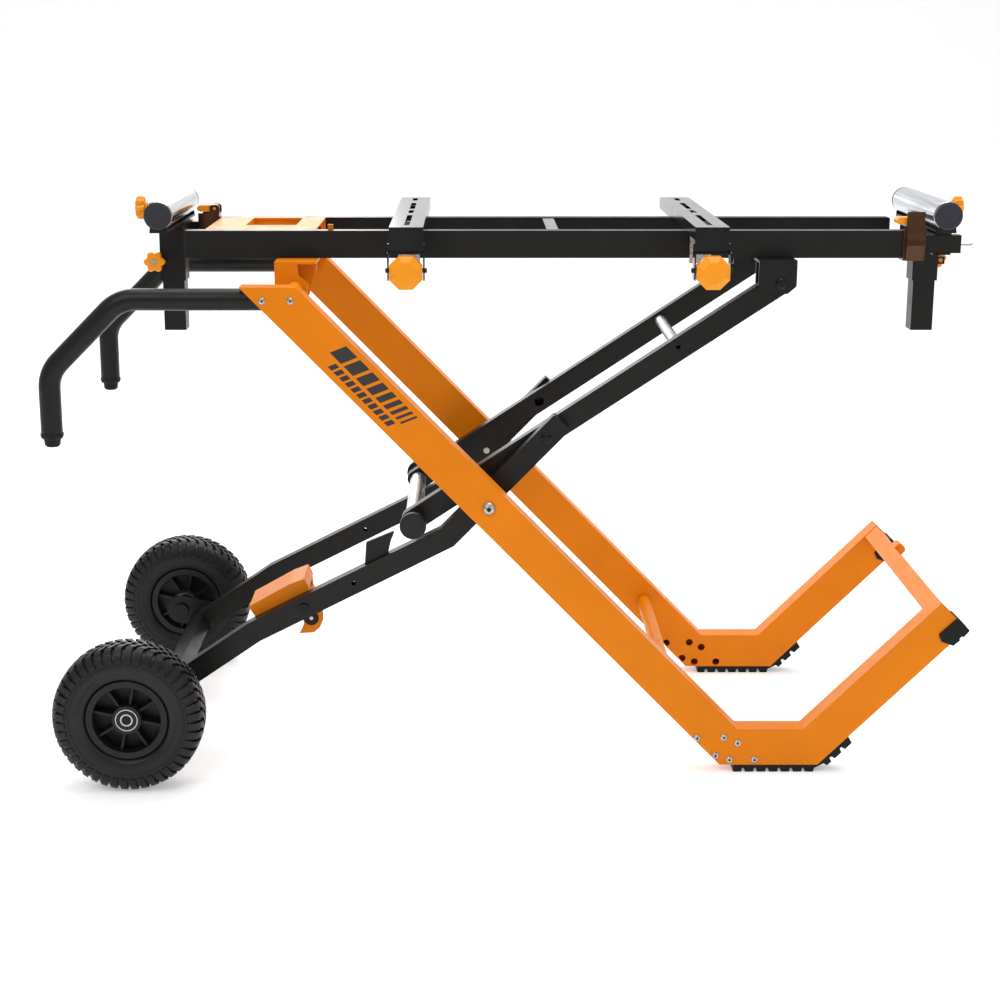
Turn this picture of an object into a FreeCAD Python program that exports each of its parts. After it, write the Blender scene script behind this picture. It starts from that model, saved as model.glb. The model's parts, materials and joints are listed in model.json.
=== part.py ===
import FreeCAD, Part
import Sketcher
import math
import os
import re

V = FreeCAD.Vector
Rotation = FreeCAD.Rotation

# Folding, wheeled stand for a mitre saw.  +X runs along the rails towards the
# foot, -Y is the front side, +Z is up and the floor is Z = 0.  The origin is on
# the floor, under the middle of the object's box.  The design is the same on
# both sides of the mid-plane Y = 0, apart from the two roller arms: the left
# one slides in the rear rail and the right one in the front rail.

# Driving dimensions in millimetres and degrees.  The x values of the pivots are
# measured from the middle of the rails.
SIZES = {
    "rail_mid_x": 64.6,
    # rails: rectangular tube
    "rail_length": 1236.0, "rail_wide": 25.0, "rail_high": 46.0, "rail_wall": 2.0,
    "rail_top_z": 915.0, "rail_in_y": 107.0,
    # orange foot legs: rectangular tube
    "leg_thick": 40.0, "leg_wide": 66.0, "leg_wall": 1.8, "leg_in_y": 238.0,
    "leg_slope": 45.7, "leg_top_z": 838.0, "arm_slope": 45.3, "arm_length": 345.0,
    "foot_wide": 65.0, "foot_end_x": 461.0, "tread_thick": 13.0,
    # black wheel legs
    "wleg_thick": 25.0, "wleg_wide": 38.0, "wleg_wall": 2.0, "wleg_in_y": 168.0,
    # black struts
    "strut_thick": 25.0, "strut_wide": 38.0, "strut_wall": 2.0, "strut_in_y": 140.0,
    "strut_length": 743.0,
    # pivots of the folding linkage
    "hanger_x": -430.0, "hanger_z": 825.0, "main_x": -107.0, "main_z": 469.0,
    "knee_x": -9.0, "knee_z": 570.0, "crown_x": 383.0, "crown_z": 830.0,
    "bolt_radius": 6.0, "running_fit": 0.06,
    # wheels
    "wheel_x": -711.0, "wheel_radius": 127.0, "wheel_wide": 80.0, "wheel_mid_y": 334.0,
    "rim_radius": 68.0, "hub_radius": 24.5, "hub_length": 62.0, "axle_radius": 8.0,
    "bearing_radius": 19.0, "bearing_thick": 12.0,
    # handles
    "handle_radius": 18.0, "handle_wall": 2.0, "handle_z": 816.0, "handle_drop_x": -832.5,
    "handle_end_z": 594.0, "handle_bend": 62.0,
    # cross tubes
    "cross_radius": 12.5, "cross_wall": 2.0, "lock_bar_radius": 15.0, "lock_cap_radius": 23.0,
    # saw brackets
    "bracket_long": 580.0, "bracket_wide": 55.0, "bracket_high": 21.0, "bracket_sheet": 2.5,
    "left_bracket_x": -241.0, "right_bracket_x": 250.0, "slot_wide": 9.0,
    # roller arms
    "post_x": 659.0, "post_wide": 38.0, "post_wall": 2.0, "sleeve_wide": 44.0,
    "sleeve_wall": 2.6, "sleeve_low_z": 817.0, "sleeve_top_z": 905.0, "post_low_z": 729.0,
    "arm_wide": 20.4, "arm_high": 30.0, "guide_high": 41.4, "arm_inside": 254.0,
    "roller_radius": 23.5, "roller_z": 942.0, "roller_half": 156.0, "roller_wall": 1.6,
}

PARTS_DIR = "parts"
ORIGIN = V(0, 0, 0)
UP = V(0, 0, 1)
FRONT, REAR = -1, 1
LEFT, RIGHT = -1, 1
SIDES = ((FRONT, "front"), (REAR, "rear"))
ENDS = ((LEFT, "left"), (RIGHT, "right"))

doc = FreeCAD.newDocument("mitre_saw_stand")
sheet = doc.addObject("Spreadsheet::Sheet", "Sizes")
for row, (name, value) in enumerate(SIZES.items(), start=1):
    sheet.set("A%d" % row, name)
    sheet.set("B%d" % row, str(value))
    sheet.setAlias("B%d" % row, name)
doc.recompute()

nodes = {}


# ---------------------------------------------------------------- helpers

def size(name):
    return float(sheet.get(name))


def formula(text):
    """Sheet formula: every known alias in the text gets the sheet's name."""
    def qualify(match):
        word = match.group(0)
        return "Sizes." + word if word in SIZES else word
    return re.sub(r"[a-z_][a-z_0-9]*", qualify, text)


def bind(item, **properties):
    for name, text in properties.items():
        item.setExpression(name.replace("__", "."), formula(text))


def place(item, x="0", y="0", z="0", rotation=None):
    """Bind the placement of an object; x is measured from the middle of the rails."""
    item.Placement = FreeCAD.Placement(ORIGIN, rotation or Rotation())
    bind(item, Placement__Base__x="rail_mid_x + (%s)" % x, Placement__Base__y=y,
         Placement__Base__z=z)


def new_object(kind, label):
    item = doc.addObject(kind, label)
    item.Label = label
    return item


def node(label, item):
    item.Label = label
    nodes[label] = item
    return item


def on_plane(body, role, geometry):
    """Sketch on one of the body's own origin planes."""
    plane = next(f for f in body.Origin.OriginFeatures if f.Role == role)
    sketch = body.newObject("Sketcher::SketchObject", body.Name + "_sketch")
    sketch.AttachmentSupport = [(plane, "")]
    sketch.MapMode = "FlatFace"
    for curve in geometry:
        sketch.addGeometry(curve, False)
    return sketch


def flat(x, z):
    return V(x, z, 0)


def rounded(points, radii=None):
    """Closed outline through the points, with an arc at each corner that has a radius."""
    count = len(points)
    radii = radii or {}
    starts, ends, arcs = [], [], []
    for i, corner in enumerate(points):
        before = (points[i - 1] - corner).normalize()
        after = (points[(i + 1) % count] - corner).normalize()
        radius = radii.get(i, 0)
        if not radius:
            starts.append(corner)
            ends.append(corner)
            arcs.append(None)
            continue
        half = before.getAngle(after) / 2
        reach = radius / math.tan(half)
        middle = corner + (before + after).normalize() * (radius / math.sin(half) - radius)
        starts.append(corner + before * reach)
        ends.append(corner + after * reach)
        arcs.append(middle)
    curves = []
    for i in range(count):
        if arcs[i]:
            curves.append(Part.Arc(starts[i], arcs[i], ends[i]))
        curves.append(Part.LineSegment(ends[i], starts[(i + 1) % count]))
    return curves


def hole(x, z, radius):
    return Part.Circle(flat(x, z), UP, radius)


def plate(label, outline, thickness, holes=(), cavity=None, cavity_depth=None):
    """Piece with a constant X-Z outline, padded evenly about its own Y = 0."""
    body = new_object("PartDesign::Body", label)
    pad = body.newObject("PartDesign::Pad", body.Name + "_pad")
    pad.Profile = on_plane(body, "XZ_Plane", list(outline) + list(holes))
    pad.SideType = "Symmetric"
    bind(pad, Length=thickness)
    if cavity:
        doc.recompute()
        whole = pad.Shape.Volume
        pocket = body.newObject("PartDesign::Pocket", body.Name + "_hollow")
        pocket.Profile = on_plane(body, "XZ_Plane", cavity)
        pocket.SideType = "Symmetric"
        bind(pocket, Length=cavity_depth)
        doc.recompute()
        if pocket.Shape.Volume >= whole:
            raise RuntimeError(label + ": the hollow cuts nothing")
    return body


def turned(label, profile):
    """Turned piece: (radius, height) profile turned about its own Z axis."""
    body = new_object("PartDesign::Body", label)
    points = [flat(radius, height) for radius, height in profile]
    turn = body.newObject("PartDesign::Revolution", body.Name + "_turn")
    outline = on_plane(body, "XZ_Plane", rounded(points))
    turn.Profile = outline
    turn.ReferenceAxis = (outline, ["V_Axis"])
    turn.Angle = 360
    return body


def box_tube(label, wide, high, wall, length):
    """Rectangular tube along its own Z axis; its section is bound to the sheet."""
    body = new_object("PartDesign::Body", label)
    section = on_plane(body, "XY_Plane", [])
    for inset, tag in (("", "outer"), (" - 2 * (%s)" % wall, "inner")):
        first = section.GeometryCount
        corners = [flat(-5, -5), flat(5, -5), flat(5, 5), flat(-5, 5)]
        for i in range(4):
            section.addGeometry(Part.LineSegment(corners[i], corners[(i + 1) % 4]), False)
        rules = [("Coincident", first + i, 2, first + (i + 1) % 4, 1) for i in range(4)]
        rules += [("Horizontal", first), ("Vertical", first + 1), ("Horizontal", first + 2),
                  ("Vertical", first + 3), ("Symmetric", first, 1, first + 2, 1, -1, 1)]
        for rule in rules:
            section.addConstraint(Sketcher.Constraint(*rule))
        across = section.addConstraint(Sketcher.Constraint("DistanceX", first, 1, first, 2, 10.0))
        along = section.addConstraint(Sketcher.Constraint("DistanceY", first + 1, 1, first + 1, 2, 10.0))
        section.setExpression("Constraints[%d]" % across, formula(wide + inset))
        section.setExpression("Constraints[%d]" % along, formula(high + inset))
    pad = body.newObject("PartDesign::Pad", body.Name + "_pad")
    pad.Profile = section
    pad.SideType = "Symmetric"
    bind(pad, Length=length)
    return body


def cylinder(label, radius, height):
    item = new_object("Part::Cylinder", label)
    bind(item, Radius=radius, Height=height)
    return item


def block(label, length, width, height):
    item = new_object("Part::Box", label)
    bind(item, Length=length, Width=width, Height=height)
    return item


def group(label, members):
    """Identical pieces that share a node, as separate solids."""
    item = new_object("Part::Compound", label)
    item.Links = members
    return node(label, item)


def fuse(label, members):
    item = new_object("Part::MultiFuse", label)
    item.Shapes = members
    return item


def cut(label, base, tool):
    item = new_object("Part::Cut", label)
    item.Base = base
    item.Tool = tool
    return item


ALONG_X = Rotation(V(0, 1, 0), 90)


def along_y(side=REAR):
    """Turn an object's own Z axis towards +Y (rear) or -Y (front)."""
    return Rotation(V(1, 0, 0), -90 * side)


def slope_point(start, angle, along, across=0.0):
    """Point in the X-Z plane, along and to the left of a direction."""
    turn = math.radians(angle)
    ahead = V(math.cos(turn), math.sin(turn), 0)
    left = V(-math.sin(turn), math.cos(turn), 0)
    return start + ahead * along + left * across


def meet(point_a, angle_a, point_b, angle_b):
    """Where two lines in the X-Z plane meet."""
    a, b = math.radians(angle_a), math.radians(angle_b)
    gap = point_b - point_a
    along = (gap.x * math.sin(b) - gap.y * math.cos(b)) / math.sin(b - a)
    return slope_point(point_a, angle_a, along)


def strip(points, half, start=0.0, end=0.0):
    """Outline of a bent strip about a centre line, lengthened at its ends."""
    count = len(points)
    angles = [math.degrees(math.atan2(points[i + 1].y - points[i].y, points[i + 1].x - points[i].x))
              for i in range(count - 1)]
    outline = []
    for side in (1, -1):
        edge = [slope_point(points[0], angles[0], -start, side * half)]
        for i in range(1, count - 1):
            edge.append(meet(slope_point(points[i], angles[i - 1], 0, side * half), angles[i - 1],
                             slope_point(points[i], angles[i], 0, side * half), angles[i]))
        edge.append(slope_point(points[-1], angles[-1], end, side * half))
        outline += edge if side == 1 else edge[::-1]
    return outline


hanger = flat(size("hanger_x"), size("hanger_z"))
main = flat(size("main_x"), size("main_z"))
knee = flat(size("knee_x"), size("knee_z"))
crown = flat(size("crown_x"), size("crown_z"))
wheel_centre = flat(size("wheel_x"), size("wheel_radius"))
bolt_hole = size("bolt_radius") + size("running_fit")


# ---------------------------------------------------------------- foot legs

FOOT_BOLTS = ((252, 62), (298, 63), (322, 53), (284.5, 30), (309, 22.5), (352, 22.5))
RIVET_X = (-476.0, -430.0)
ACCESS_RADIUS = 7.0
RIVET_Z = 816.0


def leg_corners(inset=0.0):
    """Corners of the foot leg's outline, moved inwards by a wall's thickness."""
    fall = -size("leg_slope")
    rise = size("arm_slope")
    half = size("leg_wide") / 2 - inset
    floor_line = flat(0, size("tread_thick") + inset)
    top_line = flat(0, size("leg_top_z") - inset)
    foot_line = flat(0, size("tread_thick") + size("foot_wide") - inset)
    lower = slope_point(main, fall, 0, -half)
    upper = slope_point(main, fall, 0, half)
    toe = flat(size("foot_end_x"), size("tread_thick"))
    arm_out = slope_point(toe, rise, 0, inset)
    arm_in = slope_point(toe, rise, 0, size("foot_wide") - inset)
    end = size("arm_length") + (5.0 if inset else 0.0)
    return [meet(top_line, 0, lower, fall), meet(lower, fall, floor_line, 0),
            meet(floor_line, 0, arm_out, rise), slope_point(arm_out, rise, end),
            slope_point(arm_in, rise, end), meet(foot_line, 0, arm_in, rise),
            meet(foot_line, 0, upper, fall), meet(top_line, 0, upper, fall)]


def foot_leg(side, name):
    holes = [hole(main.x, main.y, bolt_hole)]
    holes += [hole(x, z, 3.1) for x, z in FOOT_BOLTS]
    holes += [hole(x, RIVET_Z, 3.1) for x in RIVET_X]
    leg = plate(name + "_leg_tube", rounded(leg_corners()), "leg_thick", holes,
                rounded(leg_corners(size("leg_wall"))), "leg_thick - 2 * leg_wall")
    bore = cylinder(name + "_handle_bore", "handle_radius + running_fit", "130")
    place(bore, "hanger_x - 130", "0", "handle_z", ALONG_X)
    place(leg)
    tools = [bore]
    for i, (x, z) in enumerate(FOOT_BOLTS):
        access = cylinder("%s_access_%d" % (name, i), str(ACCESS_RADIUS), "4")
        inner_face = "leg_thick / 2 - 3" if side == FRONT else "-leg_thick / 2 - 1"
        place(access, str(x), inner_face, str(z), along_y(REAR))
        tools.append(access)
    whole = cut(name + "_leg", leg, fuse(name + "_leg_tools", tools))
    bind(whole, Placement__Base__y="%d * (leg_in_y + leg_thick / 2)" % side)
    node(name + "_foot_leg", whole)


LUG_DEEP = 7.0
TREAD_START_X = 316.0
TREAD_UP_ARM = 72.0


def tread_outline():
    """Rubber pad under the foot and up the first part of the arm, with square lugs."""
    base = size("tread_thick")
    toe = flat(size("foot_end_x"), base)
    rise = size("arm_slope")
    flat_run = toe.x - TREAD_START_X
    lugs_flat, lugs_arm = 7, 3
    pitch = flat_run / lugs_flat
    outline = [flat(TREAD_START_X, base)]
    for i in range(lugs_flat):
        left = TREAD_START_X + i * pitch
        outline += [flat(left, 0), flat(left + pitch * 0.66, 0), flat(left + pitch * 0.74, LUG_DEEP)]
        if i < lugs_flat - 1:
            outline.append(flat(left + pitch * 0.92, LUG_DEEP))
    arm_pitch = TREAD_UP_ARM / lugs_arm
    for i in range(lugs_arm):
        run = i * arm_pitch + (9.0 if i == 0 else 3.0)
        outline += [slope_point(toe, rise, run, LUG_DEEP - base),
                    slope_point(toe, rise, run + 2, -base),
                    slope_point(toe, rise, (i + 1) * arm_pitch - 3, -base)]
        if i < lugs_arm - 1:
            outline.append(slope_point(toe, rise, (i + 1) * arm_pitch - 1, LUG_DEEP - base))
    outline += [slope_point(toe, rise, TREAD_UP_ARM), toe]
    return rounded(outline)


END_CAP_CORNERS = ((-45, 15), (-40, 27.5), (2, 26.5), (2, -4.5), (-13, -5.5), (-15, -2.5),
                   (-20, -2.5), (-22, -5.5), (-36, -4.5))


def end_cap(name):
    """Rubber bumper round the outer corner of a foot arm's end and over its two faces."""
    toe = flat(size("foot_end_x"), size("tread_thick"))
    rise, end = size("arm_slope"), size("arm_length")
    points = [slope_point(toe, rise, end + along, across) for along, across in END_CAP_CORNERS]
    outer = plate(name + "_cap_block", rounded(points, {1: 4, 2: 2, 3: 3}), "leg_thick + 6")
    leg = plate(name + "_cap_inside", rounded(leg_corners()), "leg_thick")
    return cut(name + "_end_cap", outer, leg)


def dome_bolt(label, shank, length, head=1.7, dome=0.55):
    """Bolt with a domed head on top of its own Z = 0, shank below."""
    wide = shank * head
    high = wide * dome
    profile = [(0, -length), (shank, -length), (shank, 0), (wide, 0), (wide, high * 0.45),
               (wide * 0.78, high * 0.85), (wide * 0.4, high), (0, high)]
    return turned(label, profile)


def foot_frame():
    out_y = "%d * (leg_in_y + leg_thick)"
    mid_y = "%d * (leg_in_y + leg_thick / 2)"
    treads, caps, bolts, rivets, pivots, handle_caps = [], [], [], [], [], []
    for side, name in SIDES:
        foot_leg(side, name)
        tread = plate(name + "_tread", tread_outline(), "leg_thick")
        place(tread, "0", mid_y % side)
        treads.append(tread)
        cap = end_cap(name)
        place(cap, "0", mid_y % side)
        caps.append(cap)
        for i, (x, z) in enumerate(FOOT_BOLTS):
            bolt = dome_bolt("%s_foot_bolt_%d" % (name, i), 3.0, 12.0, 2.0)
            place(bolt, str(x), out_y % side, str(z), along_y(side))
            bolts.append(bolt)
        for i, x in enumerate(RIVET_X):
            rivet = dome_bolt("%s_leg_rivet_%d" % (name, i), 3.0, 1.7, 1.9)
            place(rivet, str(x), out_y % side, str(RIVET_Z), along_y(side))
            rivets.append(rivet)
        pivots.append(main_pivot(side, name))
        handle_caps.append(handle(side, name))
    group("foot_treads", treads)
    group("foot_end_caps", caps)
    group("foot_bolts", bolts)
    group("leg_rivets", rivets)
    group("main_pivot_bolts", pivots)
    group("handle_caps", handle_caps)
    cross_tubes()
    foot_cross_bar()


def main_pivot(side, name):
    """Pivot bolt of a foot leg and a wheel leg, with the spacer between the two tubes."""
    shank = size("bolt_radius")
    deep = size("leg_in_y") + size("leg_thick") - size("wleg_in_y") - 1.0
    thick = size("leg_thick")
    gap = size("leg_in_y") - size("wleg_in_y") - size("wleg_thick")
    profile = [(0, -deep), (shank, -deep), (shank, -thick - gap + 0.4), (13, -thick - gap + 0.4),
               (13, -thick), (shank, -thick), (shank, 0), (11, 0), (11, 2.5), (8.5, 6), (4, 8), (0, 8)]
    bolt = turned(name + "_main_pivot", profile)
    place(bolt, "main_x", "%d * (leg_in_y + leg_thick)" % side, "main_z", along_y(side))
    return bolt


def pipe_along(points, bend, radius):
    """Solid round bar along straight runs in the X-Z plane with rounded bends."""
    curves = []
    start = points[0]
    for i in range(1, len(points) - 1):
        corner = points[i]
        before = (points[i - 1] - corner).normalize()
        after = (points[i + 1] - corner).normalize()
        half = before.getAngle(after) / 2
        reach = bend / math.tan(half)
        middle = corner + (before + after).normalize() * (bend / math.sin(half) - bend)
        curves.append(Part.LineSegment(start, corner + before * reach))
        curves.append(Part.Arc(corner + before * reach, middle, corner + after * reach))
        start = corner + after * reach
    curves.append(Part.LineSegment(start, points[-1]))
    path = Part.Wire([curve.toShape() for curve in curves])
    ring = Part.Wire([Part.Circle(points[0], points[1] - points[0], radius).toShape()])
    return path.makePipeShell([ring], True, True)


HANDLE_START_X = -448.0


def handle(side, name):
    """Round push handle: it leaves the top of the foot leg, then bends down."""
    level = size("handle_z")
    drop_x = size("handle_drop_x")
    knee_x = drop_x + 121.5
    points = [flat(HANDLE_START_X, level), flat(knee_x, level), flat(drop_x, level - 121.5),
              flat(drop_x, size("handle_end_z"))]
    bend = size("handle_bend")
    radius = size("handle_radius")
    solid = pipe_along(points, bend, radius)
    inner = pipe_along(points, bend, radius - size("handle_wall"))
    tube = new_object("Part::Feature", name + "_handle")
    tube.Shape = solid.cut(inner)
    place(tube, "0", "%d * (leg_in_y + leg_thick / 2)" % side, "0", Rotation(V(1, 0, 0), 90))
    node(name + "_handle", tube)
    profile = [(0, 14), (radius - 2.2, 14), (radius - 2.2, 0), (radius + 1.2, 0), (radius + 1.2, -5),
               (radius - 1, -9), (radius - 4, -10), (radius - 5, -20), (radius - 8, -23), (0, -23)]
    cap = turned(name + "_handle_cap", profile)
    place(cap, "handle_drop_x", "%d * (leg_in_y + leg_thick / 2)" % side, "handle_end_z")
    return cap


LOW_CROSS_ALONG = 446.0


def round_tube(label, radius, wall, half_length):
    outer = cylinder(label + "_outer", radius, "2 * (%s)" % half_length)
    inner = cylinder(label + "_inner", "(%s) - (%s)" % (radius, wall), "2 * (%s)" % half_length)
    return cut(label, outer, inner)


def place_across(item, x, z, half_length):
    place(item, x, "-(%s)" % half_length, z, along_y(REAR))


def cross_tubes():
    """Hanger tube that the rails' hangers turn on, and the lower spreader tube."""
    low = slope_point(main, -size("leg_slope"), LOW_CROSS_ALONG)
    members = []
    for label, x, z in (("hanger_tube", hanger.x, hanger.y), ("spreader_tube", low.x, low.y)):
        tube = round_tube(label, "cross_radius", "cross_wall", "leg_in_y")
        place_across(tube, str(x), str(z), "leg_in_y")
        members.append(tube)
    group("cross_tubes", members)


def foot_cross_bar():
    """Square bar between the ends of the foot arms, with a small catch plate on it."""
    toe = flat(size("foot_end_x"), size("tread_thick"))
    rise = size("arm_slope")
    middle = slope_point(toe, rise, size("arm_length") - 16, size("foot_wide") - 13)
    tube = box_tube("foot_bar_tube", "30", "24", "2", "2 * leg_in_y")
    place(tube, str(middle.x), "0", str(middle.y), Rotation(V(1, 0, 0), -90))
    tube.Placement = FreeCAD.Placement(tube.Placement.Base,
                                       Rotation(V(0, -1, 0), rise).multiply(Rotation(V(1, 0, 0), -90)))
    catch_at = slope_point(toe, rise, size("arm_length") - 1, size("foot_wide") - 13)
    corners = [(0, -9), (0, 11), (10, 11), (14, 6), (14, -4), (9, -9)]
    outline = [slope_point(catch_at, rise, along, across) for along, across in corners]
    catch = plate("foot_bar_catch", rounded(outline, {3: 3, 4: 3}), "26")
    place(catch, "0", "96")
    node("foot_cross_bar", fuse("foot_bar", [tube, catch]))


# ---------------------------------------------------------------- wheel legs

WLEG_LOW = flat(-652.0, 130.8)
WLEG_BEND = flat(-515.0, 225.0)
WLEG_ELBOW = flat(-178.0, 395.7)
WLEG_PAST_KNEE = 39.0
PEDAL_PIVOT = flat(-427.5, 268.5)
LATCH_CORNERS = ((-321.0, 341.5), (-318.0, 385.0), (-268.0, 406.0), (-275.0, 388.0), (-281.0, 361.8))
PEDAL_PIN_RADIUS = 5.0
PEDAL_PIN_END_Y = -66.0
BEAM_CENTRE = flat(-667.7, 120.0)
BEAM_TILT = 34.5
AXLE_PLATE_THICK = 5.0
AXLE_PLATE_OUT_Y = 256.0


def wheel_leg(side, name):
    line = [WLEG_LOW, WLEG_BEND, WLEG_ELBOW, knee]
    half = size("wleg_wide") / 2
    wall = size("wleg_wall")
    outline = rounded(strip(line, half, 0, WLEG_PAST_KNEE), {3: 3, 4: 3})
    hollow = rounded(strip(line, half - wall, 5, WLEG_PAST_KNEE - wall))
    holes = [hole(main.x, main.y, bolt_hole), hole(knee.x, knee.y, size("bolt_radius")),
             hole(-340.0, 313.5, 4.0)]
    if side == FRONT:
        holes.append(hole(PEDAL_PIVOT.x, PEDAL_PIVOT.y, PEDAL_PIN_RADIUS))
    leg = plate(name + "_wheel_leg", outline, "wleg_thick", holes, hollow,
                "wleg_thick - 2 * wleg_wall")
    place(leg, "0", "%d * (wleg_in_y + wleg_thick / 2)" % side)
    if side == FRONT:
        latch = plate("latch_body", rounded([flat(x, z) for x, z in LATCH_CORNERS], {1: 5, 2: 2}), "6")
        place(latch, "0", "-wleg_in_y - wleg_thick / 2")
        leg = fuse("front_leg_weld", [leg, latch])
    node(name + "_wheel_leg", leg)


def axle_beam():
    """Cross beam that joins the wheel legs, with an axle plate welded on each end."""
    members = []
    beam = box_tube("beam_tube", "wleg_wide", "wleg_thick", "wleg_wall",
                    "2 * %g" % (AXLE_PLATE_OUT_Y - AXLE_PLATE_THICK))
    place(beam, str(BEAM_CENTRE.x), "0", str(BEAM_CENTRE.y))
    turn = Rotation(V(0, -1, 0), BEAM_TILT).multiply(Rotation(V(1, 0, 0), 90))
    beam.Placement = FreeCAD.Placement(beam.Placement.Base, turn)
    members.append(beam)
    tilt = math.degrees(math.atan2(BEAM_CENTRE.y - wheel_centre.y, BEAM_CENTRE.x - wheel_centre.x))
    corners = [slope_point(wheel_centre, tilt, -30, 30), slope_point(wheel_centre, tilt, -30, -30),
               slope_point(BEAM_CENTRE, tilt, 24, -23), slope_point(BEAM_CENTRE, tilt, 24, 23)]
    outline = rounded(corners, {0: 29.5, 1: 29.5, 2: 6, 3: 6})
    for side, name in SIDES:
        axle_plate = plate(name + "_axle_plate", outline, str(AXLE_PLATE_THICK),
                           [hole(wheel_centre.x, wheel_centre.y, size("axle_radius"))])
        place(axle_plate, "0", str(side * (AXLE_PLATE_OUT_Y - AXLE_PLATE_THICK / 2)))
        members.append(axle_plate)
    node("axle_beam", fuse("axle_beam_weld", members))


def axle_bolt(side, name):
    """Wheel axle: head inside the axle plate, shoulder, then the journal of the wheel."""
    shank = size("axle_radius")
    inner = AXLE_PLATE_OUT_Y - AXLE_PLATE_THICK
    out = size("wheel_mid_y") + size("hub_length") / 2 + 1.0
    shoulder = size("wheel_mid_y") - size("hub_length") / 2 - 0.5
    profile = [(0, inner - 8), (13, inner - 8), (13, inner), (shank, inner),
               (shank, AXLE_PLATE_OUT_Y), (15, AXLE_PLATE_OUT_Y), (12, shoulder), (shank, shoulder),
               (shank, out), (shank - 1.5, out + 2), (0, out + 2)]
    bolt = turned(name + "_axle", profile)
    place(bolt, "wheel_x", "0", "wheel_radius", along_y(side))
    return bolt



def wheel_frame():
    bolts, knees = [], []
    for side, name in SIDES:
        wheel_leg(side, name)
        bolts.append(axle_bolt(side, name))
        bolt = dome_bolt(name + "_knee_bolt", size("bolt_radius"), size("wleg_thick") - 0.5, 1.6)
        place(bolt, "knee_x", "%d * (wleg_in_y + wleg_thick)" % side, "knee_z", along_y(side))
        knees.append(bolt)
    axle_beam()
    group("axle_bolts", bolts)
    group("knee_bolts", knees)
    head_y = -size("wleg_in_y") - size("wleg_thick")
    pin_radius = PEDAL_PIN_RADIUS
    profile = [(0, head_y - 5), (9, head_y - 5), (9, head_y), (pin_radius, head_y),
               (pin_radius, PEDAL_PIN_END_Y - 4), (9, PEDAL_PIN_END_Y - 4), (9, PEDAL_PIN_END_Y),
               (0, PEDAL_PIN_END_Y)]
    pin = turned("pedal_pin_bar", profile)
    place(pin, str(PEDAL_PIVOT.x), "0", str(PEDAL_PIVOT.y), along_y(REAR))
    node("pedal_pin", pin)


# ---------------------------------------------------------------- foot pedal

PEDAL_FRONT_Y, PEDAL_REAR_Y = -165.0, -72.0
PEDAL_TOP = ((-527.0, 263.0), (-454.0, 304.0), (-428.0, 314.0), (-420.0, 296.0))
HOOK_CORNERS = ((-441, 276), (-414, 283), (-397, 264), (-396, 240), (-402, 225), (-413, 215.5),
                (-438.6, 214), (-434, 222), (-430, 233), (-434, 250), (-441, 260))


def pedal():
    """Folded sheet pedal with a riser, webs down to its hinge barrel, and the release hook."""
    mid_y = (PEDAL_FRONT_Y + PEDAL_REAR_Y) / 2
    wide = PEDAL_REAR_Y - PEDAL_FRONT_Y
    top = [flat(x, z) for x, z in PEDAL_TOP]
    corners = top + [flat(-431, 284), flat(-515, 244)]
    hollow = [flat(-522.5, 261.5), flat(-453, 300.5), flat(-430.5, 309), flat(-424, 294),
              flat(-431, 270), flat(-514, 230)]
    shell = plate("pedal_shell", rounded(corners, {0: 3, 2: 3}), str(wide), (), rounded(hollow),
                  str(wide - 6))
    place(shell, "0", str(mid_y))
    members = [shell]
    arm = rounded(strip([flat(-430, 303), PEDAL_PIVOT], 8.0, 0, 0))
    for y in (PEDAL_FRONT_Y + 3.0, PEDAL_REAR_Y - 3.0):
        web = plate("pedal_web", arm, "6")
        place(web, "0", str(y))
        members.append(web)
    barrel = plate("pedal_barrel", [hole(PEDAL_PIVOT.x, PEDAL_PIVOT.y, 11.0)], str(wide))
    place(barrel, "0", str(mid_y))
    members.append(barrel)
    outline = rounded([flat(x, z) for x, z in HOOK_CORNERS], {1: 8, 2: 6, 4: 6, 5: 6, 10: 5})
    hook = plate("hook_plate", outline, "5")
    place(hook, "0", str(PEDAL_FRONT_Y + 2.5))
    members.append(hook)
    bore = hole(PEDAL_PIVOT.x, PEDAL_PIVOT.y, PEDAL_PIN_RADIUS + size("running_fit"))
    drill = plate("pedal_drill", [bore], str(wide + 4))
    place(drill, "0", str(mid_y))
    node("foot_pedal", cut("pedal_bored", fuse("pedal_weld", members), drill))


# ---------------------------------------------------------------- wheels

SPOKES = 8


def tyre(side, name):
    """Pneumatic tyre with a squarish crown and three grooves round it."""
    radius = size("wheel_radius")
    half = size("wheel_wide") / 2
    seat = size("rim_radius") - 3.0
    profile = [(seat, -21), (seat + 5, -27), (radius * 0.64, -half + 1.5), (radius * 0.8, -half),
               (radius * 0.9, -half + 3), (radius - 4, -half + 9), (radius, -half + 19)]
    for groove in (-12.0, 0.0, 12.0):
        profile += [(radius, groove - 2.5), (radius - 4, groove - 1.5), (radius - 4, groove + 1.5),
                    (radius, groove + 2.5)]
    profile += [(r, -h) for r, h in reversed(profile[:7])]
    body = turned(name + "_tyre_ring", profile)
    place(body, "wheel_x", "%d * wheel_mid_y" % side, "wheel_radius", along_y(side))
    node(name + "_tyre", body)


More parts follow.
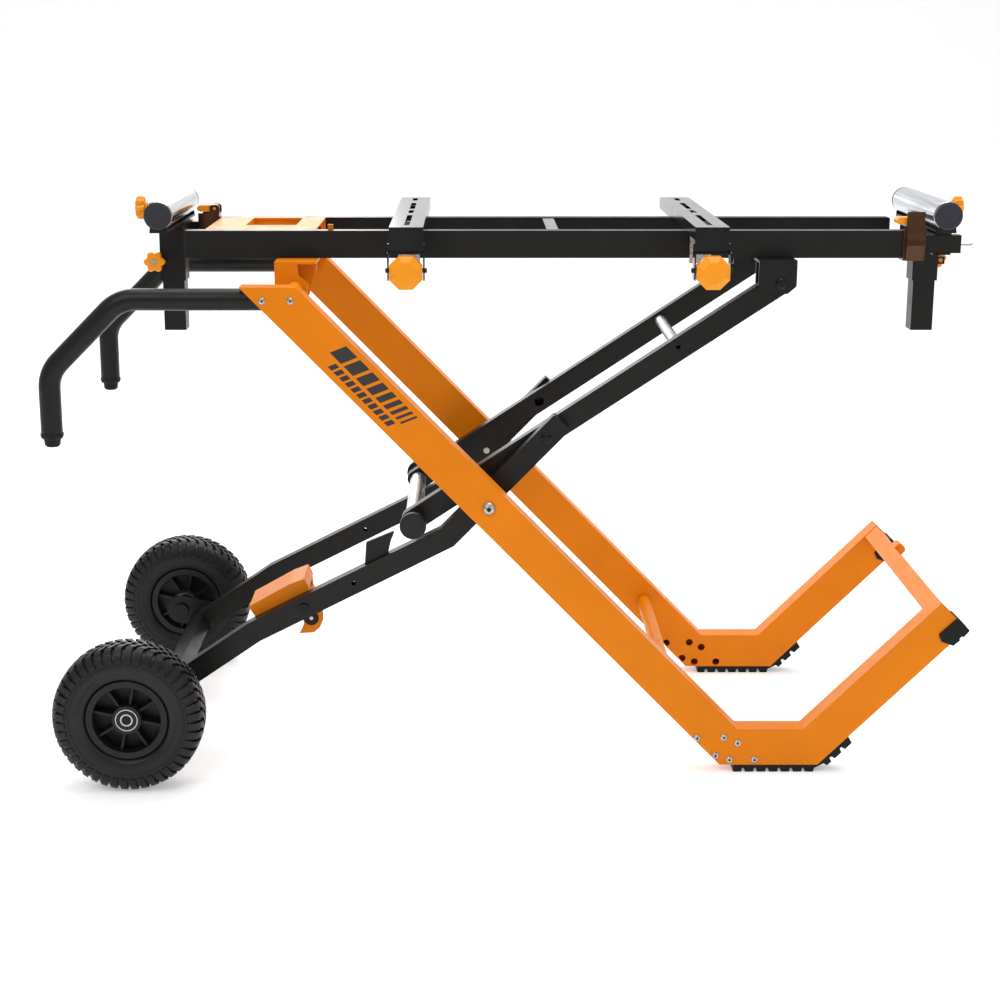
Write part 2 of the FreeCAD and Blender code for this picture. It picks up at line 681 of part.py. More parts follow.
def rim(side, name):
    """Moulded rim: barrel with flanges, thin web, hub and eight ribs."""
    rim_r, hub_r = size("rim_radius"), size("hub_radius")
    half = size("hub_length") / 2
    seat, bearing = rim_r - 3.05, size("bearing_radius")
    shoulder = half - size("bearing_thick")
    inner = rim_r - 10.5
    profile = [(bearing, -half), (hub_r, -half), (hub_r, -6), (inner, -6), (inner, -31),
               (rim_r, -31), (rim_r + 1, -28), (seat + 1.5, -27.5), (seat, -22), (seat, 22),
               (seat + 1.5, 27.5), (rim_r + 1, 28), (rim_r, 31), (inner, 31), (inner, 0),
               (hub_r, 0), (hub_r, half), (bearing, half), (bearing, shoulder), (11, shoulder),
               (11, -shoulder), (bearing, -shoulder)]
    ring = turned(name + "_rim_ring", profile)
    place(ring, "wheel_x", "%d * wheel_mid_y" % side, "wheel_radius", along_y(side))
    members = [ring]
    for i in range(SPOKES):
        turn = Rotation(V(0, 1, 0), 360.0 / SPOKES * i + 12.0)
        corner = turn.multVec(V(hub_r - 0.5, 0, -2))
        rib = block("%s_rib_%d" % (name, i), "rim_radius - 10 - hub_radius + 1", "44", "4")
        place(rib, "wheel_x + (%.4f)" % corner.x, "%d * wheel_mid_y - 22" % side,
              "wheel_radius + (%.4f)" % corner.z, turn)
        members.append(rib)
    node(name + "_rim", fuse(name + "_rim_weld", members))


def bearings(side, name):
    members = []
    thick = size("bearing_thick")
    outer, bore = size("bearing_radius"), size("axle_radius") + size("running_fit")
    profile = [(bore, 0), (outer, 0), (outer, thick), (outer - 3, thick), (outer - 3.4, thick - 0.8),
               (bore + 4.4, thick - 0.8), (bore + 4, thick), (bore, thick)]
    for end in (-1, 1):
        ring = turned("%s_bearing_%d" % (name, end + 1), profile)
        place(ring, "wheel_x", "%d * wheel_mid_y + %d * (hub_length / 2 - bearing_thick)" % (side, end),
              "wheel_radius", along_y(end))
        members.append(ring)
    group(name + "_wheel_bearings", members)


def wheels():
    for side, name in SIDES:
        tyre(side, name)
        rim(side, name)
        bearings(side, name)


# ---------------------------------------------------------------- struts

STRUT_TUBE_ALONG = 200.0
LOCK_BAR_HALF = 196.0
LOCK_CAP_THICK = 12.0
STRUT_SLOPE = math.degrees(math.atan2(crown.y - knee.y, crown.x - knee.x))
lock_centre = slope_point(crown, STRUT_SLOPE, -size("strut_length"))


def strut(side, name):
    half = size("strut_wide") / 2
    wall = size("strut_wall")
    line = [lock_centre, crown]
    outline = rounded(strip(line, half, 19, 19), {0: 15, 1: 15, 2: 15, 3: 15})
    hollow = rounded(strip(line, half - wall, 19 - wall, 19 - wall), {0: 13, 1: 13, 2: 13, 3: 13})
    brace = slope_point(crown, STRUT_SLOPE, -STRUT_TUBE_ALONG, 4)
    holes = [hole(crown.x, crown.y, bolt_hole), hole(lock_centre.x, lock_centre.y, size("lock_bar_radius")),
             hole(knee.x, knee.y, size("bolt_radius") + 3), hole(brace.x, brace.y, 4.0)]
    leg = plate(name + "_strut_tube", outline, "strut_thick", holes, hollow,
                "strut_thick - 2 * strut_wall")
    place(leg, "0", "%d * (strut_in_y + strut_thick / 2)" % side)
    node(name + "_strut", leg)
    return brace


def struts():
    for side, name in SIDES:
        brace = strut(side, name)
    rod = round_tube("brace_rod", "10", "1.5", "strut_in_y")
    place_across(rod, str(brace.x), str(brace.y), "strut_in_y")
    bar = round_tube("lock_tube", "lock_bar_radius", "2", str(LOCK_BAR_HALF))
    place_across(bar, str(lock_centre.x), str(lock_centre.y), str(LOCK_BAR_HALF))
    group("strut_tubes", [rod, bar])
    caps = []
    cap_radius, plug = size("lock_cap_radius"), size("lock_bar_radius") - 2.1
    profile = [(0, -14), (plug, -14), (plug, 0), (cap_radius, 0), (cap_radius, LOCK_CAP_THICK - 2),
               (cap_radius - 2, LOCK_CAP_THICK), (0, LOCK_CAP_THICK)]
    for side, name in SIDES:
        cap = turned(name + "_lock_cap", profile)
        place(cap, str(lock_centre.x), str(side * LOCK_BAR_HALF), str(lock_centre.y), along_y(side))
        caps.append(cap)
    group("lock_bar_caps", caps)


# ---------------------------------------------------------------- rails

CHEEK_THICK = 4.0
STRAP_WIDE = 20.0
MOUNT_LEFT_X, MOUNT_RIGHT_X = -588.0, -400.0
WINDOW_LEFT_X, WINDOW_RIGHT_X = -528.0, -440.0
WINDOW_FRONT_Y, WINDOW_REAR_Y = -34.0, 98.0


def rails():
    rail_mid_y = "%d * (rail_in_y + rail_wide / 2)"
    for side, name in SIDES:
        rail = box_tube(name + "_rail_tube", "rail_high", "rail_wide", "rail_wall", "rail_length")
        place(rail, "0", rail_mid_y % side, "rail_top_z - rail_high / 2", ALONG_X)
        node(name + "_rail", rail)
    strap = block("middle_strap", str(STRAP_WIDE), "2 * rail_in_y", "3")
    place(strap, "-8", "-rail_in_y", "rail_top_z - 4")
    node("rail_strap", strap)
    end_plugs()
    crown_brackets()
    leg_mount()
    leg_hangers()
    arm_clamps()


def end_plugs():
    """Plastic plugs in the two rail ends that no roller arm leaves."""
    plugs = []
    low, high = size("rail_top_z") - size("rail_high"), size("rail_top_z")
    inner = size("rail_length") / 2
    for end, name in ENDS:
        corners = [(0, low), (4, low), (4, high), (0, high)]
        outline = [flat(end * (inner + x), z) for x, z in corners]
        head = plate(name + "_plug_head", rounded(outline, {1: 3.5, 2: 3.5}), "rail_wide")
        place(head, "0", "%d * (rail_in_y + rail_wide / 2)" % end)
        tongue = block(name + "_plug_tongue", "16", "rail_wide - 2 * rail_wall",
                       "rail_high - 2 * rail_wall")
        place(tongue, str(end * (inner - 8) - 8),
              "%d * (rail_in_y + rail_wide / 2) - rail_wide / 2 + rail_wall" % end,
              "rail_top_z - rail_high + rail_wall")
        plugs.append(fuse(name + "_end_plug", [head, tongue]))
    group("rail_end_plugs", plugs)


def crown_brackets():
    """Clevis under each rail that holds the strut's top pivot."""
    brackets, bolts = [], []
    under = size("rail_top_z") - size("rail_high")
    cheek_in = size("strut_in_y") - 2.0 - CHEEK_THICK / 2
    cheek_out = size("strut_in_y") + size("strut_thick") + 2.0 + CHEEK_THICK / 2
    corners = [flat(345, under - 0.1), flat(345, 818), flat(394, 813), flat(409, 826), flat(409, under - 0.1)]
    outline = rounded(corners, {1: 4, 2: 6, 3: 6})
    for side, name in SIDES:
        members = []
        for tag, y in (("inner", cheek_in), ("outer", cheek_out)):
            cheek = plate("%s_%s_cheek" % (name, tag), outline, str(CHEEK_THICK),
                          [hole(crown.x, crown.y, size("bolt_radius"))])
            place(cheek, "0", str(side * y))
            members.append(cheek)
        web_in = size("rail_in_y") + 2.0
        web_out = cheek_out + CHEEK_THICK / 2
        web = block(name + "_crown_web", "64", str(web_out - web_in), "4")
        place(web, "345", str(web_in if side == REAR else -web_out), "rail_top_z - rail_high - 4")
        members.append(web)
        brackets.append(fuse(name + "_crown_bracket", members))
        shank = cheek_out - cheek_in + CHEEK_THICK + 3
        bolt = dome_bolt(name + "_crown_bolt", size("bolt_radius"), shank, 1.6)
        place(bolt, "crown_x", str(side * (cheek_out + CHEEK_THICK / 2)), "crown_z", along_y(side))
        bolts.append(bolt)
    group("crown_brackets", brackets)
    group("crown_bolts", bolts)


def leg_mount():
    """Folded plate between the rails at the hanger end, with a window in its top."""
    long = MOUNT_RIGHT_X - MOUNT_LEFT_X
    shell = block("mount_block", str(long), "2 * rail_in_y", "40")
    place(shell, str(MOUNT_LEFT_X), "-rail_in_y", "rail_top_z - 40")
    inside = block("mount_inside", str(long + 2), "2 * rail_in_y - 6", "40")
    place(inside, str(MOUNT_LEFT_X - 1), "-rail_in_y + 3", "rail_top_z - 43")
    window = block("mount_window", str(WINDOW_RIGHT_X - WINDOW_LEFT_X),
                   str(WINDOW_REAR_Y - WINDOW_FRONT_Y), "20")
    place(window, str(WINDOW_LEFT_X), str(WINDOW_FRONT_Y), "rail_top_z - 10")
    holes = []
    for i, x in enumerate((-428.0, -412.0)):
        drill = cylinder("mount_drill_%d" % i, "4", "2 * rail_in_y")
        place(drill, str(x), "-rail_in_y", "rail_top_z - 20", along_y(REAR))
        holes.append(drill)
    tools = fuse("mount_tools", [inside, window] + holes)
    walls = []
    for i, x in enumerate((WINDOW_LEFT_X - 3, WINDOW_RIGHT_X)):
        wall = block("mount_wall_%d" % i, "3", "2 * rail_in_y - 6", "34")
        place(wall, str(x), "-rail_in_y + 3", "rail_top_z - 36")
        walls.append(wall)
    body = cut("mount_cut", shell, tools)
    tab = block("mount_tab", "9", "6", "16")
    place(tab, "-380", "-rail_in_y", "rail_top_z - 8")
    bridge = block("mount_bridge", "24", "3", "10")
    place(bridge, "-401", "-rail_in_y", "rail_top_z - 14")
    node("leg_mount", fuse("mount_weld", [body, tab, bridge] + walls))


def leg_hangers():
    """Bent plates that hang from the rails and turn on the hanger tube."""
    under = size("rail_top_z") - size("rail_high")
    drop = 24.0
    members = []
    left_edge = [flat(-464, under - 0.1), flat(-464, hanger.y + 2), flat(-452, hanger.y - drop),
                 flat(-412, hanger.y - drop)]
    outer = left_edge + [flat(-408, hanger.y + 8), flat(-424, hanger.y + 22), flat(-426, under - 0.1)]
    inner = left_edge + [flat(-404, hanger.y + 6), flat(-394, under - 0.1)]
    outlines = {"inner": rounded(inner, {1: 10, 2: 14, 3: 14, 4: 10}),
                "outer": rounded(outer, {1: 10, 2: 14, 3: 14, 4: 8, 5: 6})}
    bore = hole(hanger.x, hanger.y, size("cross_radius") + size("running_fit"))
    for side, name in SIDES:
        pieces = []
        for tag, y in (("inner", 150.0), ("outer", 186.0)):
            cheek = plate("%s_hanger_%s" % (name, tag), outlines[tag], "4", [bore])
            place(cheek, "0", str(side * y))
            pieces.append(cheek)
        flange = block(name + "_hanger_flange", "70", "81", "4")
        place(flange, "-464", "107" if side == REAR else "-188", "rail_top_z - rail_high - 4")
        pieces.append(flange)
        back = block(name + "_hanger_back", "4", "40", "40")
        place(back, "-464", "148" if side == REAR else "-188", "rail_top_z - rail_high - 41")
        pieces.append(back)
        members.append(fuse(name + "_hanger", pieces))
    group("leg_hangers", members)


CLAMP_IN_X, CLAMP_OUT_X = 592.0, 630.0
CLAMP_HALF_WIDE = 16.5
CAM_UP = 16.0
CAM_PIN = 2.5
# distance of each cam's pin from the rails' middle, and whether its blade points outwards
CAMS = {LEFT: (600.0, 1), RIGHT: (612.0, -1)}
BAND_TOP = {LEFT: 14.0, RIGHT: 32.0}
BAND_CORNERS = ((18.5, 10.0), (21.5, -3.0), (25.0, -15.0), (26.0, -24.0), (22.5, -36.0),
                (19.5, -50.0), (16.3, -50.0))


def arm_clamps():
    """Clamp boxes round the rail ends, each with two ears and a bulged band on its outer face."""
    members = []
    for end, name in ENDS:
        side = -end
        mid_y = side * (size("rail_in_y") + size("rail_wide") / 2)
        long = CLAMP_OUT_X - CLAMP_IN_X
        mid_x = end * (CLAMP_IN_X + long / 2)
        outer = block(name + "_clamp_outer", str(long), "%g" % (2 * CLAMP_HALF_WIDE), "58")
        place(outer, str(mid_x - long / 2), str(mid_y - CLAMP_HALF_WIDE), "rail_top_z - 50")
        opening = block(name + "_clamp_opening", "60", "rail_wide", "rail_high")
        place(opening, str(end * 588.0 - 30), str(mid_y - 12.5), "rail_top_z - 46")
        throat = block(name + "_clamp_throat", "90", "arm_wide + 0.8", "arm_high + 0.8")
        place(throat, str(end * 620.0 - 45), "%g - arm_wide / 2 - 0.4" % mid_y,
              "rail_top_z - rail_high / 2 - arm_high / 2 - 0.4")
        pieces = [cut(name + "_clamp_body", outer, fuse(name + "_clamp_tools", [opening, throat]))]
        cam_x = end * CAMS[end][0]
        cam_hole = hole(cam_x, CAM_UP, CAM_PIN + size("running_fit"))
        corners = [(-9, 7.9), (9, 7.9), (9, CAM_UP + 7), (-9, CAM_UP + 7)]
        outline = [flat(cam_x + x, z) for x, z in corners]
        for i, offset in enumerate((-14.75, 14.75)):
            ear = plate("%s_cam_ear_%d" % (name, i), rounded(outline, {2: 6, 3: 6}), "3.5", [cam_hole])
            place(ear, "0", str(mid_y + offset), "rail_top_z")
            pieces.append(ear)
        top = BAND_TOP[end]
        band_points = [flat(16.3, top - 1), flat(18.8, top)] + [flat(x, z) for x, z in BAND_CORNERS]
        band = plate(name + "_clamp_band", rounded(band_points, {4: 6, 5: 6}), "30")
        place(band, str(mid_x), str(mid_y), "rail_top_z", Rotation(UP, 90 * side))
        pieces.append(band)
        members.append(fuse(name + "_arm_clamp", pieces))
        arm_lever(end, name, mid_y)
    group("arm_clamps", members)


def arm_lever(end, name, mid_y):
    """Cam lever between the ears of a clamp box; its pin lies along Y."""
    cam_x, outwards = CAMS[end]
    corners = [(-6, -6), (26, -6), (32, -3), (32, 2), (27, 6), (-6, 6)]
    outline = [flat(end * (cam_x + outwards * x), CAM_UP + z) for x, z in corners]
    blade = plate(name + "_lever_blade", rounded(outline, {0: 5.9, 2: 1.5, 3: 1.5, 5: 5.9}), "25")
    pin = cylinder(name + "_lever_pin", str(CAM_PIN), "32")
    place(blade, "0", str(mid_y), "rail_top_z")
    place(pin, str(end * cam_x), str(mid_y - 16), "rail_top_z + %g" % CAM_UP, along_y(REAR))
    node(name + "_arm_lever", fuse(name + "_lever_weld", [blade, pin]))


# ---------------------------------------------------------------- saw brackets

SLOTS = ((-167.5, 175.0), (-14.0, 52.0), (100.0, 120.0), (238.0, 52.0))
LEVER_FRONT_Y = -326.0
LEVER_MID_Z = 866.0
PIN_Y, PIN_Z = -302.0, 868.0
PIN_RADIUS = 4.0


def saw_bracket(end, name):
    """Folded channel across both rails with slots for the saw's feet."""
    mid = "%s_bracket_x" % name
    half = "bracket_long / 2"
    low = "rail_top_z + 0.3"
    shell = block(name + "_channel_block", "bracket_wide", "bracket_long", "bracket_high")
    place(shell, mid + " - bracket_wide / 2", "-" + half, low)
    inside = block(name + "_channel_inside", "bracket_wide - 2 * bracket_sheet",
                   "bracket_long - 2 * bracket_sheet", "bracket_high")
    place(inside, mid + " - bracket_wide / 2 + bracket_sheet", "-" + half + " + bracket_sheet",
          low + " - bracket_sheet")
    tools = [inside]
    for i, (y, length) in enumerate(SLOTS):
        straight = length - size("slot_wide")
        slot = block("%s_slot_%d" % (name, i), "slot_wide", str(straight), "40")
        place(slot, mid + " - slot_wide / 2", str(y - straight / 2), low)
        tools.append(slot)
        for tip in (-1, 1):
            round_end = cylinder("%s_slot_%d_end_%d" % (name, i, tip + 1), "slot_wide / 2", "40")
            place(round_end, mid, str(y + tip * straight / 2), low)
            tools.append(round_end)
    channel = cut(name + "_channel", shell, fuse(name + "_channel_tools", tools))
    front = block(name + "_front_plate", "bracket_wide", "bracket_sheet", "40")
    place(front, mid + " - bracket_wide / 2", "-" + half, low + " - 19")
    lip = block(name + "_front_lip", "bracket_wide", "11", "2.5")
    place(lip, mid + " - bracket_wide / 2", "-" + half + " - 8.5", low + " - 21.5")
    members = [channel, front, lip]
    for i, x in enumerate((" - bracket_wide / 2 - 2.5", " + bracket_wide / 2")):
        cheek = block("%s_cheek_%d" % (name, i), "2.5", "26", "44")
        place(cheek, mid + x, str(PIN_Y - 6), "rail_top_z - 62")
        members.append(cheek)
        tie = block("%s_cheek_tie_%d" % (name, i), "2.5", "6", "14")
        place(tie, mid + x, "-" + half, "rail_top_z - 19")
        members.append(tie)
    hook = block(name + "_rear_hook", "36", "5", "78")
    place(hook, mid + " - 18", "rail_in_y + rail_wide + 0.4", "rail_top_z - 59")
    rear_lip = block(name + "_rear_lip", "36", "16", "4")
    place(rear_lip, mid + " - 18", "rail_in_y + rail_wide - 10", "rail_top_z - 59")
    welded = fuse(name + "_bracket_weld", members + [hook, rear_lip])
    drill = cylinder(name + "_pin_drill", "%g + running_fit" % PIN_RADIUS, "80")
    place(drill, mid + " - 40", str(PIN_Y), str(PIN_Z), ALONG_X)
    node(name + "_saw_bracket", cut(name + "_bracket_bored", welded, drill))
    clamp_jaw(name, mid)
    clamp_lever(name, mid)


def clamp_jaw(name, mid):
    """Pull rod under the channel with the jaw that grips the front rail."""
    reach = "bracket_long / 2 - rail_in_y - rail_wide - 9.5"
    rod = cylinder(name + "_rod_bar", "4", reach)
    place(rod, mid, "-bracket_long / 2 + bracket_sheet", "rail_top_z - 8", along_y(REAR))
    jaw = block(name + "_jaw_plate", "36", "6", "70")
    place(jaw, mid + " - 18", "-rail_in_y - rail_wide - 6.6", "rail_top_z - 54")
    lip = block(name + "_jaw_lip", "36", "16", "4")
    place(lip, mid + " - 18", "-rail_in_y - rail_wide - 6.6", "rail_top_z - 54")
    node(name + "_clamp_jaw", fuse(name + "_jaw_weld", [rod, jaw, lip]))


def clamp_lever(name, mid):
    """Eight-sided bevelled lever grip on a pin along X."""
    half_high, half_wide, corner = 26.5, 26.5, 15.0

    def wire(shrink, y):
        high, wide = half_high - shrink, half_wide - shrink
        points = []
        for sx, sz, first in ((-1, -1, True), (1, -1, False), (1, 1, True), (-1, 1, False)):
            near_side = V(sx * wide, y, sz * (high - corner + shrink * 0.4))
            near_end = V(sx * (wide - corner + shrink * 0.4), y, sz * high)
            points += [near_side, near_end] if first else [near_end, near_side]
        return Part.makePolygon(points + points[:1])

    front = LEVER_FRONT_Y
    rings = ((6.5, front, 0, front + 7), (0, front + 7, 0, front + 27), (0, front + 27, 5, front + 34))
    pieces = [Part.makeLoft([wire(a, y0), wire(b, y1)], True, True) for a, y0, b, y1 in rings]
    for piece in pieces:
        piece.translate(V(0, 0, LEVER_MID_Z - PIN_Z))
    pin_half = size("bracket_wide") / 2 + 6.0
    pin = Part.makeCylinder(PIN_RADIUS, 2 * pin_half, V(-pin_half, PIN_Y, 0), V(1, 0, 0))
    lever = new_object("Part::Feature", name + "_lever_shape")
    lever.Shape = pieces[0].fuse(pieces[1:] + [pin]).removeSplitter()
    place(lever, mid, "0", str(PIN_Z))
    node(name + "_clamp_lever", lever)


# ---------------------------------------------------------------- roller arms

KNOB_OUT = 30.0
KNOB_Y = 25.0


def roller_arm(end, name):
    """Arm that slides in a rail, with the sleeve of the roller post welded on it."""
    side = -end
    rail_y = side * (size("rail_in_y") + size("rail_wide") / 2)
    arm_z = "rail_top_z - rail_high / 2"
    inner_x = size("rail_length") / 2 - size("arm_inside")
    outer_x = size("post_x") + size("sleeve_wide") / 2
    tip_x = outer_x + 10.0
    tube = box_tube(name + "_arm_tube", "arm_high", "arm_wide", "2", str(tip_x - inner_x))
    place(tube, str(end * (inner_x + tip_x) / 2), str(rail_y), arm_z, ALONG_X)
    cross_len = abs(rail_y) + size("arm_wide") / 2 - size("sleeve_wide") / 2
    guide = block(name + "_arm_guide", "36", "arm_wide", "guide_high")
    place(guide, str(end * (inner_x + 18) - 18), "%g - arm_wide / 2" % rail_y,
          "rail_top_z - rail_high / 2 - guide_high / 2")
    cross = box_tube(name + "_cross_tube", "30", "36", "2", str(cross_len))
    place(cross, str(end * size("post_x")), str(side * (size("sleeve_wide") / 2 + cross_len / 2)), arm_z,
          along_y(REAR))
    sleeve = box_tube(name + "_sleeve_tube", "sleeve_wide", "sleeve_wide", "sleeve_wall",
                      "sleeve_top_z - sleeve_low_z")
    place(sleeve, str(end * size("post_x")), "0", "(sleeve_top_z + sleeve_low_z) / 2")
    lug = block(name + "_knob_lug", "15", "20", "13")
    place(lug, str(end * (outer_x + 7) - 7.5), "-10", "844.5")
    drill = cylinder(name + "_lug_drill", "4 + running_fit", "60")
    place(drill, str(end * (size("post_x") + KNOB_OUT)), "-30", "851", along_y(REAR))
    welded = fuse(name + "_arm_weld", [tube, guide, cross, sleeve, lug])
    node(name + "_roller_arm", cut(name + "_arm_bored", welded, drill))


def height_knob(end, name):
    """Six-lobed knob on a screw in the sleeve's lug; it turns about Y."""
    side = end
    lobes, reach, thick = 6, 12.5, 15.0
    core = Part.makeCylinder(12.0, thick)
    for i in range(lobes):
        turn = 2 * math.pi * i / lobes
        lobe = Part.makeCylinder(6.5, thick, V(reach * math.cos(turn), reach * math.sin(turn), 0))
        core = core.fuse(lobe)
    core = core.removeSplitter()
    neck = Part.makeCylinder(8.0, 12.0, V(0, 0, -12))
    screw = Part.makeCylinder(4.0, 34.0, V(0, 0, -34))
    knob = new_object("Part::Feature", name + "_knob_shape")
    knob.Shape = core.fuse([neck, screw]).removeSplitter()
    place(knob, str(end * (size("post_x") + KNOB_OUT)), str(side * KNOB_Y), "851", along_y(side))
    node(name + "_height_knob", knob)


def roller_post(end, name):
    """Post that slides in the sleeve, with the roller's cradle and stop plate on top."""
    top = 914.0
    post = box_tube(name + "_post_tube", "post_wide", "post_wide", "post_wall", "%g - post_low_z" % top)
    x = end * size("post_x")
    place(post, str(x), "0", "(%g + post_low_z) / 2" % top)
    ear_y = size("roller_half") + 1.0
    channel = block(name + "_cradle", "30", str(2 * ear_y + 6), "4")
    place(channel, str(x - 15), str(-ear_y - 3), str(top - 0.5))
    members = [post, channel]
    for side, tag in SIDES:
        corners = [flat(-15, top), flat(15, top), flat(12, size("roller_z") + 6), flat(5, size("roller_z") + 12),
                   flat(-5, size("roller_z") + 12), flat(-12, size("roller_z") + 6)]
        ear = plate("%s_%s_ear" % (name, tag), rounded(corners), "3",
                    [hole(0, size("roller_z"), 5.0)])
        place(ear, str(x), str(side * (ear_y + 1.5)))
        members.append(ear)
    shelf = block(name + "_stop_shelf", "32", "26", "3")
    place(shelf, str(x + end * 23 - 16), "-13", str(top))
    stop = block(name + "_stop_plate", "3", "26", "37")
    place(stop, str(x + end * 37.5 - 1.5), "-13", str(top))
    drill = cylinder(name + "_stop_drill", "4 + running_fit", "20")
    place(drill, str(x + end * 37.5 - 10), "0", "roller_z", ALONG_X)
    welded = fuse(name + "_post_weld", members + [shelf, stop])
    node(name + "_roller_post", cut(name + "_post_bored", welded, drill))


def stop_knob(end, name):
    """Knurled thumb knob on the stop plate; it turns about X."""
    profile = [(0, -6), (4, -6), (4, 4.2), (10, 4.2), (10, 7), (18, 8.5), (20, 11), (20, 21), (18, 24),
               (9, 26), (0, 26)]
    knob = turned(name + "_stop_knob_turned", profile)
    place(knob, str(end * (size("post_x") + 37.5)), "0", "roller_z",
          Rotation(V(0, 1, 0), 90 * end))
    node(name + "_stop_knob", knob)


def roller(end, name):
    x = str(end * size("post_x"))
    half = size("roller_half")
    radius, wall = size("roller_radius"), size("roller_wall")
    tube_profile = [(5.0 + size("running_fit"), -half + 0.5), (radius - 1, -half + 0.5),
                    (radius, -half + 1.5), (radius, half - 1.5), (radius - 1, half - 0.5),
                    (5.0 + size("running_fit"), half - 0.5), (5.0 + size("running_fit"), half - 8),
                    (radius - wall, half - 8), (radius - wall, -half + 8),
                    (5.0 + size("running_fit"), -half + 8)]
    tube = turned(name + "_roller_tube", tube_profile)
    place(tube, x, "0", "roller_z", along_y(REAR))
    node(name + "_roller", tube)
    ear_out = half + 4.0
    profile = [(0, -ear_out - 6), (radius - 3, -ear_out - 6), (radius - 0.5, -ear_out - 4),
               (radius - 0.5, -ear_out), (5, -ear_out), (5, ear_out), (radius - 0.5, ear_out),
               (radius - 0.5, ear_out + 4), (radius - 3, ear_out + 6), (0, ear_out + 6)]
    axle = turned(name + "_axle_shape", profile)
    place(axle, x, "0", "roller_z", along_y(REAR))
    node(name + "_roller_axle", axle)


def write_parts():
    doc.recompute()
    for item in doc.Objects:
        if "Invalid" in item.State or "Error" in item.State:
            raise RuntimeError("%s is in state %s" % (item.Label, item.State))
    os.makedirs(PARTS_DIR, exist_ok=True)
    for label, item in nodes.items():
        if item.Shape.isNull() or not item.Shape.isValid():
            raise RuntimeError("%s has no valid shape" % label)
        item.Shape.exportStep("%s/%s.step" % (PARTS_DIR, label))


foot_frame()
wheel_frame()
pedal()
wheels()
struts()
rails()
for end, name in ENDS:
    saw_bracket(end, name)
    roller_arm(end, name)
    roller_post(end, name)
    roller(end, name)
    height_knob(end, name)
    stop_knob(end, name)
write_parts()
print(len(nodes), "parts written")
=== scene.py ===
import json
import math

import bmesh
import bpy
from mathutils import Matrix, Vector


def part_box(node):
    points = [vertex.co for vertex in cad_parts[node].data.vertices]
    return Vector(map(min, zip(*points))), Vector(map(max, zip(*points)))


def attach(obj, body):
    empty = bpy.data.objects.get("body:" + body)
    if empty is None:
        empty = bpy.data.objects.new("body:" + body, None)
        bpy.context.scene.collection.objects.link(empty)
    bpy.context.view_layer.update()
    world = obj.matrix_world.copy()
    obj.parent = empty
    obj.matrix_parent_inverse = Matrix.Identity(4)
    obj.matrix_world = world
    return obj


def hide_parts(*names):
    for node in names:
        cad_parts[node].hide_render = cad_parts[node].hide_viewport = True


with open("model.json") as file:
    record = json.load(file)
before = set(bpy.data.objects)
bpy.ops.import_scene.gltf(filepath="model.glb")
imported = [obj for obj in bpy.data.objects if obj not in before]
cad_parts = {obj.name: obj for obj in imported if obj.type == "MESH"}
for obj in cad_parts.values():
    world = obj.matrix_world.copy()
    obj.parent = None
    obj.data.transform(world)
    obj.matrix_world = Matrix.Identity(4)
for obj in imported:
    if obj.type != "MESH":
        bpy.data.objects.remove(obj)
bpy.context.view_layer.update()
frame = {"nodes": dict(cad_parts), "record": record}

# Folding, wheeled stand for a mitre saw.  The CAD nodes give every load-bearing
# shape; this script paints them, adds or replaces the pieces whose detail the
# CAD solids leave out, and stages the picture.  Lengths are in metres, or in
# millimetres where a table or a name is multiplied by MM.

MM = 0.001
NODES = frame["nodes"]
SLOT_OF = {row["node"]: row["material_slot"] for row in frame["record"]["subparts"]}
SIDES = (("front", -1), ("rear", 1))
ENDS = (("left", -1), ("right", 1))


def node_centre(node):
    low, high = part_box(node)
    return (low + high) / 2


def in_metres(points):
    """Pairs of millimetres as pairs of metres."""
    return [(a * MM, b * MM) for a, b in points]


# ------------------------------------------------------------------ materials

def new_material(name):
    material = bpy.data.materials.new(name)
    material.use_nodes = True
    tree = material.node_tree
    return material, tree, tree.nodes["Principled BSDF"]


def noise(tree, scale, detail, rough=0.55):
    place = tree.nodes.new("ShaderNodeTexCoord")
    field = tree.nodes.new("ShaderNodeTexNoise")
    field.inputs["Scale"].default_value = scale
    field.inputs["Detail"].default_value = detail
    field.inputs["Roughness"].default_value = rough
    tree.links.new(place.outputs["Object"], field.inputs["Vector"])
    return field


def ramp(tree, source, stops):
    """Colour band of (position, colour) stops, read at the source's first output."""
    band = tree.nodes.new("ShaderNodeValToRGB")
    elements = band.color_ramp.elements
    while len(elements) < len(stops):
        elements.new(0.5)
    for element, (position, colour) in zip(elements, stops):
        element.position = position
        element.color = (*colour, 1.0)
    tree.links.new(source.outputs[0], band.inputs["Fac"])
    return band


def spread(tree, source, low, high):
    """The middle of a noise field, stretched to run from low to high."""
    band = tree.nodes.new("ShaderNodeMapRange")
    band.inputs["From Min"].default_value = 0.3
    band.inputs["From Max"].default_value = 0.7
    band.inputs["To Min"].default_value = low
    band.inputs["To Max"].default_value = high
    tree.links.new(source.outputs[0], band.inputs["Value"])
    return band


def tinted(colour, amount):
    return tuple(min(1.0, max(0.0, c * amount)) for c in colour)


def relieved(tree, shader, source, strength, distance):
    """Bump from a source's first output."""
    relief = tree.nodes.new("ShaderNodeBump")
    relief.inputs["Strength"].default_value = strength
    relief.inputs["Distance"].default_value = distance
    tree.links.new(source.outputs[0], relief.inputs["Height"])
    tree.links.new(relief.outputs["Normal"], shader.inputs["Normal"])


